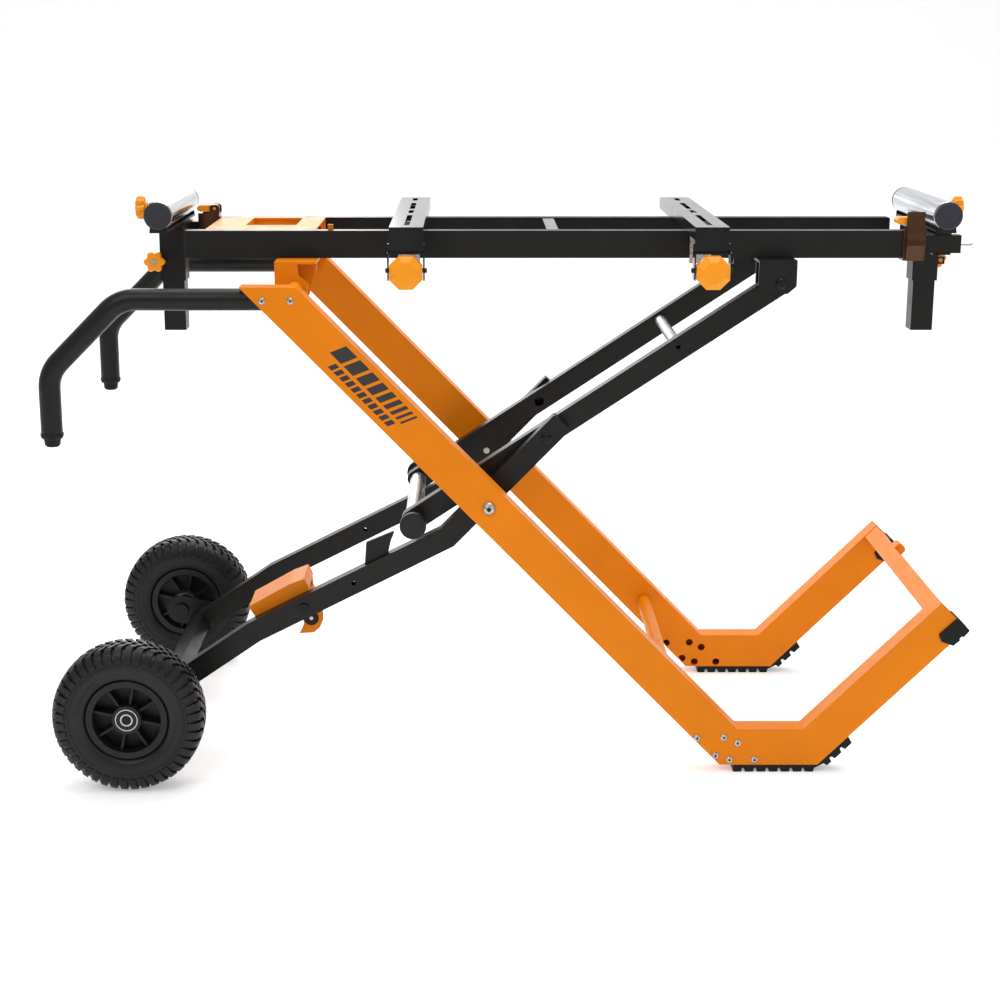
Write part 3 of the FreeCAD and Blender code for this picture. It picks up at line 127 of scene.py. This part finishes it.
def coated(name, colour, roughness, metallic=0.0, grain=900.0, bump=0.04, mottle=0.12, shine=0.5):
    """Paint, plastic or metal: broad mottling, fine grain in the surface, uneven gloss."""
    material, tree, shader = new_material(name)
    broad = noise(tree, scale=9.0, detail=6.0)
    stops = [(0.32, tinted(colour, 1 - mottle)), (0.5, colour), (0.68, tinted(colour, 1 + mottle))]
    tint = ramp(tree, broad, stops)
    tree.links.new(tint.outputs["Color"], shader.inputs["Base Color"])
    patches = noise(tree, scale=34.0, detail=5.0)
    gloss = spread(tree, patches, low=roughness * 0.85, high=min(1.0, roughness * 1.18))
    tree.links.new(gloss.outputs[0], shader.inputs["Roughness"])
    shader.inputs["Metallic"].default_value = metallic
    shader.inputs["Specular IOR Level"].default_value = shine
    fine = noise(tree, scale=grain, detail=2.0)
    relieved(tree, shader, fine, strength=bump, distance=0.6 * MM)
    return material


def brushed(name, colour, roughness, stretch, contrast=0.22):
    """Bare metal with fine lines; stretch is how far the lines run along X, Y and Z."""
    material, tree, shader = new_material(name)
    place = tree.nodes.new("ShaderNodeTexCoord")
    squeeze = tree.nodes.new("ShaderNodeMapping")
    squeeze.inputs["Scale"].default_value = stretch
    lines = tree.nodes.new("ShaderNodeTexNoise")
    lines.inputs["Scale"].default_value = 260.0
    lines.inputs["Detail"].default_value = 5.0
    tree.links.new(place.outputs["Object"], squeeze.inputs["Vector"])
    tree.links.new(squeeze.outputs["Vector"], lines.inputs["Vector"])
    stops = [(0.3, tinted(colour, 1 - contrast)), (0.5, colour), (0.7, tinted(colour, 1 + contrast))]
    tint = ramp(tree, lines, stops)
    tree.links.new(tint.outputs["Color"], shader.inputs["Base Color"])
    gloss = spread(tree, lines, low=roughness * 0.75, high=roughness * 1.3)
    tree.links.new(gloss.outputs[0], shader.inputs["Roughness"])
    shader.inputs["Metallic"].default_value = 1.0
    relieved(tree, shader, lines, strength=0.05, distance=0.4 * MM)
    return material


def spangled(name, colour, roughness):
    """Zinc: small crystals that each shine a little differently."""
    material, tree, shader = new_material(name)
    place = tree.nodes.new("ShaderNodeTexCoord")
    cells = tree.nodes.new("ShaderNodeTexVoronoi")
    cells.inputs["Scale"].default_value = 240.0
    tree.links.new(place.outputs["Object"], cells.inputs["Vector"])
    grey = tree.nodes.new("ShaderNodeSeparateColor")
    tree.links.new(cells.outputs["Color"], grey.inputs["Color"])
    tint = ramp(tree, grey, [(0.1, tinted(colour, 0.84)), (0.9, tinted(colour, 1.12))])
    tree.links.new(tint.outputs["Color"], shader.inputs["Base Color"])
    gloss = tree.nodes.new("ShaderNodeMapRange")
    gloss.inputs["To Min"].default_value = roughness * 0.8
    gloss.inputs["To Max"].default_value = roughness * 1.25
    tree.links.new(grey.outputs[0], gloss.inputs["Value"])
    tree.links.new(gloss.outputs[0], shader.inputs["Roughness"])
    shader.inputs["Metallic"].default_value = 1.0
    return material


MATERIALS = {
    "orange_paint": coated("orange_paint", (0.70, 0.190, 0.0), roughness=0.40, grain=700.0,
                           bump=0.05, mottle=0.06, shine=0.16),
    "black_paint": coated("black_paint", (0.0075, 0.0070, 0.0062), roughness=0.34, grain=1100.0,
                          bump=0.10, mottle=0.2, shine=0.22),
    "grey_paint": coated("bracket_dark", (0.020, 0.022, 0.023), roughness=0.17, metallic=0.9,
                         grain=1300.0, mottle=0.25),
    "bracket_steel": coated("bracket_steel", (0.026, 0.028, 0.028), roughness=0.16, metallic=0.9,
                            grain=1300.0, mottle=0.25),
    "black_steel": coated("black_steel", (0.012, 0.012, 0.013), roughness=0.28, metallic=0.6,
                          bump=0.06, mottle=0.25, shine=0.3),
    "zinc": spangled("zinc", (0.46, 0.45, 0.44), roughness=0.32),
    "galvanised": brushed("galvanised", (0.62, 0.64, 0.63), roughness=0.30, stretch=(1.0, 0.04, 1.0)),
    "roller_steel": brushed("roller_steel", (0.50, 0.52, 0.54), roughness=0.17,
                            stretch=(1.0, 0.02, 1.0), contrast=0.28),
    # Painted reflection: the plated clamp band gets a brown metal tint that stands for the orange and black
    # parts it reflects.
    "clamp_brown": coated("clamp_brown", (0.085, 0.040, 0.020), roughness=0.16, metallic=0.85,
                          grain=800.0, bump=0.03),
    "black_plastic": coated("black_plastic", (0.009, 0.009, 0.010), roughness=0.40, grain=1500.0,
                            bump=0.14, shine=0.25),
    "orange_plastic": coated("orange_plastic", (0.82, 0.28, 0.004), roughness=0.30, grain=1200.0,
                             mottle=0.06, shine=0.3),
    "cap_plastic": coated("cap_plastic", (0.026, 0.026, 0.036), roughness=0.40, grain=1400.0,
                          bump=0.08, shine=0.25),
    "rubber": coated("rubber", (0.006, 0.006, 0.006), roughness=0.55, grain=1000.0, bump=0.16,
                     shine=0.2),
    "tyre": coated("tyre", (0.0065, 0.0065, 0.007), roughness=0.40, grain=1000.0, bump=0.12,
                   shine=0.3),
}
DECAL = coated("decal_black", (0.014, 0.013, 0.012), roughness=0.45, bump=0.03)
# Painted shade: near-black finish for flat discs that stand for the shade inside hex socket recesses.
SOCKET_SHADE_PAINT = coated("shadow_black", (0.006, 0.006, 0.006), roughness=0.8, grain=700.0, bump=0.03)

for node_name, cad_object in NODES.items():
    cad_object.data.materials.clear()
    cad_object.data.materials.append(MATERIALS[SLOT_OF[node_name]])


# ------------------------------------------------------------------ mesh helpers

WELD = 1e-6


def finish_piece(mesh, name, body, slot, material=None, smooth=35.0):
    """Turn a bmesh into a named piece that rides on a body; edges sharper than smooth stay sharp."""
    bmesh.ops.remove_doubles(mesh, verts=mesh.verts, dist=WELD)
    bmesh.ops.recalc_face_normals(mesh, faces=mesh.faces)
    data = bpy.data.meshes.new(name)
    mesh.to_mesh(data)
    mesh.free()
    piece = bpy.data.objects.new(name, data)
    bpy.context.collection.objects.link(piece)
    data.materials.append(material or MATERIALS[slot])
    for face in data.polygons:
        face.use_smooth = True
    data.set_sharp_from_angle(angle=math.radians(smooth))
    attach(piece, body)
    return piece


def lathe(mesh, profile, segments):
    """Closed ring: a closed (radius, height) profile in metres, turned about Z."""
    rings = []
    for i in range(segments):
        turn = 2 * math.pi * i / segments
        cos, sin = math.cos(turn), math.sin(turn)
        rings.append([mesh.verts.new((r * cos, r * sin, h)) for r, h in profile])
    count = len(profile)
    for i in range(segments):
        ring, following = rings[i], rings[(i + 1) % segments]
        for j in range(count):
            k = (j + 1) % count
            mesh.faces.new((ring[j], following[j], following[k], ring[k]))


def loft(mesh, rings):
    """Closed skin over rings of equally many verts, capped at both ends."""
    count = len(rings[0])
    for ring, following in zip(rings, rings[1:]):
        for i in range(count):
            k = (i + 1) % count
            mesh.faces.new((ring[i], ring[k], following[k], following[i]))
    mesh.faces.new(list(reversed(rings[0])))
    mesh.faces.new(rings[-1])


def along_y(side, centre):
    """Frame whose Z points outwards along Y at a centre."""
    return Matrix.Translation(centre) @ Matrix.Rotation(-side * math.pi / 2, 4, "X")


def lifted(level):
    return Matrix.Translation((0, 0, level))


def transform_all(mesh, matrix):
    bmesh.ops.transform(mesh, matrix=matrix, verts=mesh.verts)


def add_box(mesh, size, matrix):
    verts = bmesh.ops.create_cube(mesh, size=1.0)["verts"]
    bmesh.ops.scale(mesh, vec=size, verts=verts)
    bmesh.ops.transform(mesh, matrix=matrix, verts=verts)


def add_disc(mesh, radius, height, matrix, segments=32, bevel=0.0):
    """Disc or prism about Z, its two rims rounded by bevel."""
    made = bmesh.ops.create_cone(mesh, cap_ends=True, segments=segments, radius1=radius, radius2=radius,
                                 depth=height)
    verts = made["verts"]
    if bevel:
        edges = [e for e in {e for v in verts for e in v.link_edges}
                 if abs(e.verts[0].co.z - e.verts[1].co.z) < height * 0.1]
        result = bmesh.ops.bevel(mesh, geom=edges, offset=bevel, segments=3, affect="EDGES", profile=0.5)
        verts = list({v for f in result["faces"] for v in f.verts} | {v for v in verts if v.is_valid})
    bmesh.ops.transform(mesh, matrix=matrix, verts=verts)


# ------------------------------------------------------------------ tyres

TYRE_OUT = 127 * MM
TYRE_HALF = 40 * MM
CROWN_DROP = 9.5 * MM
CROWN_POWER = 3.2
BLOCK_ROWS = 44
BLOCK_PITCH = 2 * math.pi / BLOCK_ROWS
BLOCK_DEPTH = 6 * MM
BLOCK_HALF_WIDTH = 0.34 * BLOCK_PITCH
BLOCK_TAPER = 0.82
BLOCK_SKEW = 5.0
# From, to (mm from the middle of the tyre) and place in the pitch of each row of crown blocks.
CROWN_ROWS = ((1.2, 8.6, 0.25), (10.4, 18.6, 0.75))
SHOULDER_HALF_WIDTH = 0.36 * BLOCK_PITCH
SHOULDER_TAPER = 0.86
# (radius, distance from the middle) in mm: the outer face first, then the inner one.
SHOULDER_OUTER = [(126.2, 20.5), (123.4, 30.5), (117.6, 36.6), (110.5, 39.4), (103.0, 40.0)]
SHOULDER_INNER = [(101.6, 37.6), (108, 35.2), (115, 31), (119, 21)]
# Half section in mm from the bead over the sidewall to the crown.
CARCASS_HALF = [(65, 21), (69.5, 26), (70.5, 31), (73, 34.5), (77, 36.3), (84, 38), (91, 38.9),
                (94.5, 39.0), (95.2, 40), (97.4, 40), (98.2, 38.8), (103, 38.2), (109, 36.4),
                (114, 33.2), (118, 28.5), (120.4, 22), (121.6, 12)]
CARCASS_SEGMENTS = 128
BARS_PER_ARC = 9
BAR_ARC_MIDDLES = (150, 330)
BAR_STEP = 5.2
BAR_RADIUS = 83 * MM
BAR_LEVEL = 38.1 * MM
BAR_LENGTH = 5.5 * MM
BAR_WIDTHS = (2.2 * MM, 3.2 * MM, 4.2 * MM)
BAR_RELIEF = 0.9 * MM


def carcass(mesh):
    upper = in_metres(CARCASS_HALF)
    lower = [(r, -h) for r, h in reversed(upper)]
    lathe(mesh, upper + lower, CARCASS_SEGMENTS)


def crown_radius(h):
    """Outer radius of the tread at a distance from the middle of the tyre."""
    reach = min(1.0, abs(h) / TYRE_HALF)
    return TYRE_OUT - CROWN_DROP * reach ** CROWN_POWER


def crown_block(mesh, angle, low, high, skew):
    """Rubber block on the crown at an angle about the axle, from low to high across the tyre."""
    corners = []
    for h in (low, high):
        outer = crown_radius(h)
        for turn in (-BLOCK_HALF_WIDTH, BLOCK_HALF_WIDTH):
            for radius, taper in ((outer - BLOCK_DEPTH, 1.0), (outer, BLOCK_TAPER)):
                a = angle + turn * taper + skew * (h - (low + high) / 2)
                corners.append(mesh.verts.new((radius * math.cos(a), radius * math.sin(a), h)))
    a0, a1, b0, b1, c0, c1, d0, d1 = corners
    for face in ((a1, b1, d1, c1), (a0, c0, d0, b0), (a0, a1, c1, c0), (b0, d0, d1, b1),
                 (a0, b0, b1, a1), (c0, c1, d1, d0)):
        mesh.faces.new(face)


def shoulder_block(mesh, angle, side):
    """Block that wraps from the crown down the shoulder of the tyre."""
    section = [(r, h, SHOULDER_TAPER) for r, h in SHOULDER_OUTER]
    section += [(r, h, 1.0) for r, h in SHOULDER_INNER]
    rings = []
    for turn in (-SHOULDER_HALF_WIDTH, SHOULDER_HALF_WIDTH):
        ring = []
        for r, h, taper in section:
            a = angle + turn * taper
            ring.append(mesh.verts.new((r * MM * math.cos(a), r * MM * math.sin(a), side * h * MM)))
        rings.append(ring)
    loft(mesh, rings)


def sidewall_bars(mesh):
    """Two arcs of plain raised bars on each sidewall."""
    for face in (1, -1):
        for middle in BAR_ARC_MIDDLES:
            for j in range(BARS_PER_ARC):
                turn = math.radians(middle + (j - BARS_PER_ARC // 2) * BAR_STEP)
                spot = Matrix.Rotation(turn, 4, "Z") @ Matrix.Translation((BAR_RADIUS, 0, face * BAR_LEVEL))
                add_box(mesh, (BAR_LENGTH, BAR_WIDTHS[j % len(BAR_WIDTHS)], BAR_RELIEF), spot)


def make_tyre(name, side):
    mesh = bmesh.new()
    carcass(mesh)
    for i in range(BLOCK_ROWS):
        angle = i * BLOCK_PITCH
        for edge in (-1, 1):
            stagger = 0.5 if edge > 0 else 0.0
            shoulder_block(mesh, angle + stagger * BLOCK_PITCH, edge)
            for near, far, shift in CROWN_ROWS:
                low, high = sorted((edge * near * MM, edge * far * MM))
                crown_block(mesh, angle + (shift + stagger) * BLOCK_PITCH, low, high, edge * BLOCK_SKEW)
    sidewall_bars(mesh)
    transform_all(mesh, along_y(side, node_centre(name + "_tyre")))
    piece = finish_piece(mesh, name + "_tyre_detailed", name + "_wheel", "tyre", smooth=40.0)
    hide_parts(name + "_tyre")


for side_name, side_sign in SIDES:
    make_tyre(side_name, side_sign)


# ------------------------------------------------------------------ orange knobs

STEPS_PER_LOBE = 12
LOBE_POWER = 0.7
LOBED = 0.24
ROUND = 0.0
# Level in thicknesses from the middle, radius in knob radii and depth of the lobes, from
# the back over the rim to the crowned face and into the round hollow at its middle.
KNOB_RINGS = ((-0.50, 0.86, LOBED), (-0.44, 0.95, LOBED), (-0.30, 1.0, LOBED), (0.20, 1.0, LOBED),
              (0.38, 0.95, LOBED), (0.47, 0.84, LOBED), (0.50, 0.6072, ROUND), (0.44, 0.46, ROUND),
              (0.44, 0.3128, ROUND))

HEIGHT_KNOB_LOBES = 6
HEIGHT_KNOB_THICK = 15 * MM
HEIGHT_KNOB_OVERHANG = 1.6 * MM
HEIGHT_KNOB_Y = 32.5 * MM

STOP_KNOB_LOBES = 8
STOP_KNOB_RADIUS = 20 * MM
STOP_KNOB_THICK = 16 * MM


def lobed_knob(lobes, radius, thick):
    """Moulded knob with soft lobes and a crowned face, about its own Z."""
    mesh = bmesh.new()
    steps = lobes * STEPS_PER_LOBE
    rings = []
    for level, scale, depth in KNOB_RINGS:
        ring = []
        for i in range(steps):
            turn = 2 * math.pi * i / steps
            ripple = 0.5 + 0.5 * math.cos(lobes * turn)
            reach = radius * scale * (1 - depth + depth * ripple ** LOBE_POWER)
            ring.append(mesh.verts.new((reach * math.cos(turn), reach * math.sin(turn), level * thick)))
        rings.append(ring)
    loft(mesh, rings)
    return mesh


def height_knobs():
    """Lobed knobs on collars and screws, each with a bright hexagon insert."""
    for name, end in ENDS:
        node = name + "_height_knob"
        body = name + "_height_knob_body"
        low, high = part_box(node)
        radius = (high.z - low.z) / 2 + HEIGHT_KNOB_OVERHANG
        middle = Vector(((low.x + high.x) / 2, end * HEIGHT_KNOB_Y, (low.z + high.z) / 2))
        mesh = lobed_knob(HEIGHT_KNOB_LOBES, radius, HEIGHT_KNOB_THICK)
        add_disc(mesh, radius=8 * MM, height=12 * MM, matrix=lifted(-13 * MM), bevel=1 * MM)
        add_disc(mesh, radius=4 * MM, height=22 * MM, matrix=lifted(-30 * MM), segments=24)
        transform_all(mesh, along_y(end, middle))
        piece = finish_piece(mesh, name + "_height_knob_moulded", body, "orange_plastic")
        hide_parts(node)
        insert = bmesh.new()
        add_disc(insert, radius=5.5 * MM, height=1.2 * MM, matrix=lifted(6.9 * MM), segments=6)
        transform_all(insert, along_y(end, middle))
        finish_piece(insert, name + "_height_knob_insert", body, "zinc")


def stop_knobs():
    """Thumb knobs with soft grip lobes, on their screws."""
    for name, end in ENDS:
        node = name + "_stop_knob"
        low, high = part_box(node)
        centre = (low + high) / 2
        outer = high.x if end > 0 else low.x
        mesh = lobed_knob(STOP_KNOB_LOBES, STOP_KNOB_RADIUS, STOP_KNOB_THICK)
        transform_all(mesh, lifted(STOP_KNOB_THICK / 2))
        add_disc(mesh, radius=10 * MM, height=4.5 * MM, matrix=lifted(-2 * MM), bevel=0.8 * MM)
        add_disc(mesh, radius=4 * MM, height=16 * MM, matrix=lifted(-12 * MM), segments=24)
        back = Matrix.Translation((outer - end * STOP_KNOB_THICK, centre.y, centre.z))
        transform_all(mesh, back @ Matrix.Rotation(end * math.pi / 2, 4, "Y"))
        piece = finish_piece(mesh, name + "_stop_knob_moulded", name + "_stop_knob_body", "orange_plastic")
        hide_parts(node)


# ------------------------------------------------------------------ bracket levers and wire pins

# Rings of the grip in mm: depth behind the front face, how far the ring is inside the
# full square, and how much of each corner is cut off.
GRIP_RINGS = ((0.0, 9.0, 12.0), (0.8, 8.2, 12.4), (7.5, 0.9, 15.0), (8.6, 0.0, 15.4),
              (26.0, 0.0, 15.4), (27.5, 1.0, 15.2), (34.0, 5.0, 13.5))
LEVER_PIN_RADIUS = 4 * MM
LEVER_PIN_Z = 868 * MM

WIRE_RADIUS = 0.8 * MM
WIRE_LENGTH = 20 * MM
WIRE_HOOK = 4 * MM
WIRE_INSET = 10 * MM
WIRE_Z = 890 * MM
WIRE_BEND = math.radians(50)


def octagon(half, cut):
    """Corners of a square of a half width, with its own corners cut off."""
    edge = half - cut
    return [(-half, -edge), (-edge, -half), (edge, -half), (half, -edge),
            (half, edge), (edge, half), (-edge, half), (-half, edge)]


def clamp_levers():
    """Eight-sided grips with a broad bevel round the front face, on blackened pins."""
    for name, _ in ENDS:
        node = name + "_clamp_lever"
        body = name + "_bracket_lever"
        low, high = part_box(node)
        centre = (low + high) / 2
        half = (high.z - low.z) / 2
        mesh = bmesh.new()
        rings = []
        for depth, inside, cut in GRIP_RINGS:
            corners = octagon(half - inside * MM, cut * MM)
            y = low.y + depth * MM
            rings.append([mesh.verts.new((centre.x + x, y, centre.z + z)) for x, z in corners])
        loft(mesh, rings)
        piece = finish_piece(mesh, name + "_clamp_lever_grip", body, "orange_plastic", smooth=20.0)
        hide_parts(node)
        pin = bmesh.new()
        spot = Matrix.Translation((centre.x, high.y - LEVER_PIN_RADIUS, LEVER_PIN_Z))
        spot = spot @ Matrix.Rotation(math.pi / 2, 4, "Y")
        add_disc(pin, LEVER_PIN_RADIUS, high.x - low.x, spot, segments=24, bevel=0.8 * MM)
        finish_piece(pin, name + "_clamp_lever_pin", body, "orange_plastic", MATERIALS["black_plastic"])


def wire_pins():
    """Thin spring wires that stick out of the roller arms' ends."""
    for name, end in ENDS:
        low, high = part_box(name + "_roller_arm")
        tip = high.x if end > 0 else low.x
        y = (low.y + WIRE_INSET) if end > 0 else (high.y - WIRE_INSET)
        mesh = bmesh.new()
        straight = Matrix.Translation((tip + end * 5 * MM, y, WIRE_Z))
        straight = straight @ Matrix.Rotation(math.pi / 2, 4, "Y")
        add_disc(mesh, WIRE_RADIUS, WIRE_LENGTH, straight, segments=12)
        hook = Matrix.Translation((tip + end * 15.5 * MM, y, WIRE_Z + 1.2 * MM))
        hook = hook @ Matrix.Rotation(end * WIRE_BEND, 4, "Y")
        add_disc(mesh, WIRE_RADIUS, WIRE_HOOK, hook, segments=12)
        finish_piece(mesh, name + "_arm_wire", name + "_arm", "black_paint")


height_knobs()
stop_knobs()
clamp_levers()
wire_pins()


# ------------------------------------------------------------------ fasteners

SOCKET_PROUD = 0.15 * MM
# Solids whose axes fall on the same place, rounded to this many decimals, are one bolt.
BOLT_PLACES = 3


def islands(mesh):
    """The corners of each separate solid in a bmesh."""
    seen = set()
    for vert in mesh.verts:
        if vert.index in seen:
            continue
        seen.add(vert.index)
        todo = [vert]
        corners = []
        while todo:
            here = todo.pop()
            corners.append(here.co.copy())
            for edge in here.link_edges:
                other = edge.other_vert(here)
                if other.index not in seen:
                    seen.add(other.index)
                    todo.append(other)
        yield corners


def bolt_faces(node):
    """Middle of the outermost face of each bolt in a node, with its side."""
    mesh = bmesh.new()
    mesh.from_mesh(NODES[node].data)
    faces = {}
    for corners in islands(mesh):
        xs = [c.x for c in corners]
        ys = [c.y for c in corners]
        zs = [c.z for c in corners]
        side = -1 if sum(ys) < 0 else 1
        tip = min(ys) if side < 0 else max(ys)
        x = (min(xs) + max(xs)) / 2
        z = (min(zs) + max(zs)) / 2
        key = (round(x, BOLT_PLACES), round(z, BOLT_PLACES), side)
        if key not in faces or abs(tip) > abs(faces[key][0].y):
            faces[key] = (Vector((x, tip, z)), side)
    mesh.free()
    return faces.values()


def hex_sockets(node, body, deep, across):
    """Flat hexagon disc just proud of each bolt head of a node, on its outer side, painted black as the
    shade inside a socket recess.
    """
    mesh = bmesh.new()
    for face, side in bolt_faces(node):
        inwards = Vector((0, -side * (deep / 2 - SOCKET_PROUD), 0))
        add_disc(mesh, across, deep, along_y(side, face + inwards), segments=6)
    finish_piece(mesh, node + "_sockets", body, "black_plastic", SOCKET_SHADE_PAINT)


hex_sockets("foot_bolts", "leg_frame", deep=1.5 * MM, across=2.4 * MM)
hex_sockets("leg_rivets", "leg_frame", deep=1.5 * MM, across=2.0 * MM)
hex_sockets("main_pivot_bolts", "leg_frame", deep=2.0 * MM, across=4.2 * MM)


# ------------------------------------------------------------------ bearing seals and hook disc

# (radius, height) profiles in mm, about each ring's own axis.
SEAL_PROFILE = [(10.6, -1.0), (17.4, -1.0), (17.4, 0.0), (16.6, 0.35), (11.4, 0.35), (10.6, 0.0)]
DISC_PROFILE = [(3.0, -1.2), (14.0, -1.2), (14.0, 0.2), (12.5, 1.0), (5.0, 1.0), (3.0, 0.4)]
RING_SEGMENTS = 48
DISC_FROM_RAIL_MIDDLE = -417 * MM
DISC_Z = 242 * MM
DISC_PROUD = 0.6 * MM


def bearing_seals():
    """Black seal ring in each wheel bearing, between its two bright races."""
    for name, side in SIDES:
        low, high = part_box(name + "_wheel_bearings")
        centre = (low + high) / 2
        half = (high.y - low.y) / 2
        for face in (-1, 1):
            mesh = bmesh.new()
            lathe(mesh, in_metres(SEAL_PROFILE), RING_SEGMENTS)
            transform_all(mesh, along_y(face, Vector((centre.x, centre.y + face * half, centre.z))))
            end = "outer" if face == side else "inner"
            finish_piece(mesh, "%s_bearing_seal_%s" % (name, end), name + "_wheel", "black_plastic")


def hook_disc():
    """Dark pressed disc with a small eyelet on the pedal's release hook."""
    hook_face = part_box("foot_pedal")[0].y
    x = node_centre("front_rail").x + DISC_FROM_RAIL_MIDDLE
    place = along_y(-1, Vector((x, hook_face + DISC_PROUD, DISC_Z)))
    disc = bmesh.new()
    lathe(disc, in_metres(DISC_PROFILE), RING_SEGMENTS)
    transform_all(disc, place)
    finish_piece(disc, "release_hook_disc", "pedal", "black_steel")
    eyelet = bmesh.new()
    add_disc(eyelet, radius=3.4 * MM, height=2.4 * MM, matrix=place, segments=24, bevel=0.4 * MM)
    finish_piece(eyelet, "release_hook_eyelet", "pedal", "zinc")


bearing_seals()
hook_disc()


# ------------------------------------------------------------------ plain graphic on the front leg

LEG_SLOPE = math.radians(-45.7)
GRAPHIC_ABOVE_PIVOT = 370 * MM
GRAPHIC_PROUD = 0.15 * MM
GRAPHIC_THICK = 0.3 * MM
BAR_LEAN = 0.42
# Bars in mm: offset down the leg and width; below and above are across the leg.
TALL_BARS = [(0, 26), (32, 22), (60, 18), (84, 15), (105, 12), (123, 9), (138, 7), (151, 5), (162, 4)]
TALL_SPAN = (-3, 24)
SMALL_BARS = [(14 + 13 * i, 9) for i in range(11)]
SMALL_SPAN = (-22, -9)


def leg_graphic():
    """Two rows of plain slanted bars on the outer face of the front leg."""
    leg_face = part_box("front_foot_leg")[0].y
    along = Vector((math.cos(LEG_SLOPE), 0, math.sin(LEG_SLOPE)))
    across = Vector((-math.sin(LEG_SLOPE), 0, math.cos(LEG_SLOPE)))
    pivot = node_centre("main_pivot_bolts")
    start = Vector((pivot.x, leg_face - GRAPHIC_PROUD, pivot.z)) - along * GRAPHIC_ABOVE_PIVOT
    mesh = bmesh.new()
    for bars, (below, above) in ((TALL_BARS, TALL_SPAN), (SMALL_BARS, SMALL_SPAN)):
        lean = (above - below) * BAR_LEAN
        for offset, wide in bars:
            corners = [(offset, below), (offset + wide, below), (offset + wide + lean, above),
                       (offset + lean, above)]
            front = [mesh.verts.new(start + along * a * MM + across * b * MM) for a, b in corners]
            back = [mesh.verts.new(v.co + Vector((0, GRAPHIC_THICK, 0))) for v in front]
            loft(mesh, [front, back])
    finish_piece(mesh, "front_leg_graphic", "leg_frame", "black_plastic", DECAL)


leg_graphic()


# ------------------------------------------------------------------ picture

FLOOR_NEAR = -9.0
FLOOR_HALF_WIDTH = 14.0
WALL_Y = 5.5
WALL_TOP = 9.0
BEND = 3.0
BEND_STEPS = 24

# Name, place, the point it is aimed at, size in metres and power in watts.
LIGHTS = (
    ("key", (-1.6, -2.6, 3.2), (0, 0, 0.6), 2.2, 40),
    ("fill", (2.6, -2.4, 1.8), (0, 0, 0.5), 2.6, 16),
    ("top", (0.2, 0.6, 3.4), (0, 0, 0.5), 3.0, 90),
    ("rim", (-1.2, 3.0, 2.0), (0, 0, 0.7), 2.0, 34),
)
WORLD_STRENGTH = 0.52

CAMERA_FROM_RAIL_MIDDLE = -138.5 * MM
CAMERA_Y = -3265.7 * MM
CAMERA_Z = 1229.9 * MM
CAMERA_TILT = math.radians(75.98)


def area_light(name, place, target, size, power):
    data = bpy.data.lights.new(name, "AREA")
    data.shape = "RECTANGLE"
    data.size = size
    data.size_y = size
    data.energy = power
    light = bpy.data.objects.new(name, data)
    bpy.context.collection.objects.link(light)
    light.location = place
    light.rotation_euler = (Vector(target) - light.location).to_track_quat("-Z", "Y").to_euler()


def backdrop():
    """Pale floor that curves up into a wall behind the stand."""
    section = [(FLOOR_NEAR, 0.0), (WALL_Y - BEND, 0.0)]
    for i in range(1, BEND_STEPS + 1):
        turn = math.pi / 2 * i / BEND_STEPS
        section.append((WALL_Y - BEND + BEND * math.sin(turn), BEND - BEND * math.cos(turn)))
    section.append((WALL_Y, WALL_TOP))
    mesh = bmesh.new()
    rows = [[mesh.verts.new((x, y, z)) for x in (-FLOOR_HALF_WIDTH, FLOOR_HALF_WIDTH)] for y, z in section]
    for row, following in zip(rows, rows[1:]):
        mesh.faces.new((row[0], row[1], following[1], following[0]))
    data = bpy.data.meshes.new("floor")
    mesh.to_mesh(data)
    mesh.free()
    for face in data.polygons:
        face.use_smooth = True
    floor = bpy.data.objects.new("floor", data)
    bpy.context.collection.objects.link(floor)
    return floor


def pale_floor_paint():
    """Near-white paint that glows a little, so that the floor fades into the background."""
    material, tree, shader = new_material("floor_pale")
    patches = noise(tree, scale=1.5, detail=3.0)
    tint = ramp(tree, patches, [(0.3, (0.86, 0.86, 0.86)), (0.7, (0.90, 0.90, 0.90))])
    tree.links.new(tint.outputs["Color"], shader.inputs["Base Color"])
    shader.inputs["Roughness"].default_value = 0.9
    shader.inputs["Specular IOR Level"].default_value = 0.1
    shader.inputs["Emission Color"].default_value = (1.0, 1.0, 1.0, 1.0)
    shader.inputs["Emission Strength"].default_value = 0.30
    return material


def surroundings():
    """Even white light from all round."""
    world = bpy.data.worlds.new("studio")
    bpy.context.scene.world = world
    world.use_nodes = True
    back = world.node_tree.nodes["Background"]
    back.inputs["Color"].default_value = (1.0, 1.0, 1.0, 1.0)
    back.inputs["Strength"].default_value = WORLD_STRENGTH


def camera():
    """The photograph's camera, placed from the middle of the rails."""
    data = bpy.data.cameras.new("camera")
    data.lens = 66.6
    data.sensor_width = 36.0
    data.shift_x = 0.03
    data.clip_end = 100.0
    viewer = bpy.data.objects.new("camera", data)
    bpy.context.collection.objects.link(viewer)
    viewer.location = (node_centre("front_rail").x + CAMERA_FROM_RAIL_MIDDLE, CAMERA_Y, CAMERA_Z)
    viewer.rotation_euler = (CAMERA_TILT, 0, 0)
    bpy.context.scene.camera = viewer


floor_piece = backdrop()
floor_piece.data.materials.append(pale_floor_paint())
surroundings()
for light_row in LIGHTS:
    area_light(*light_row)
camera()
bpy.context.scene.view_settings.view_transform = "Standard"
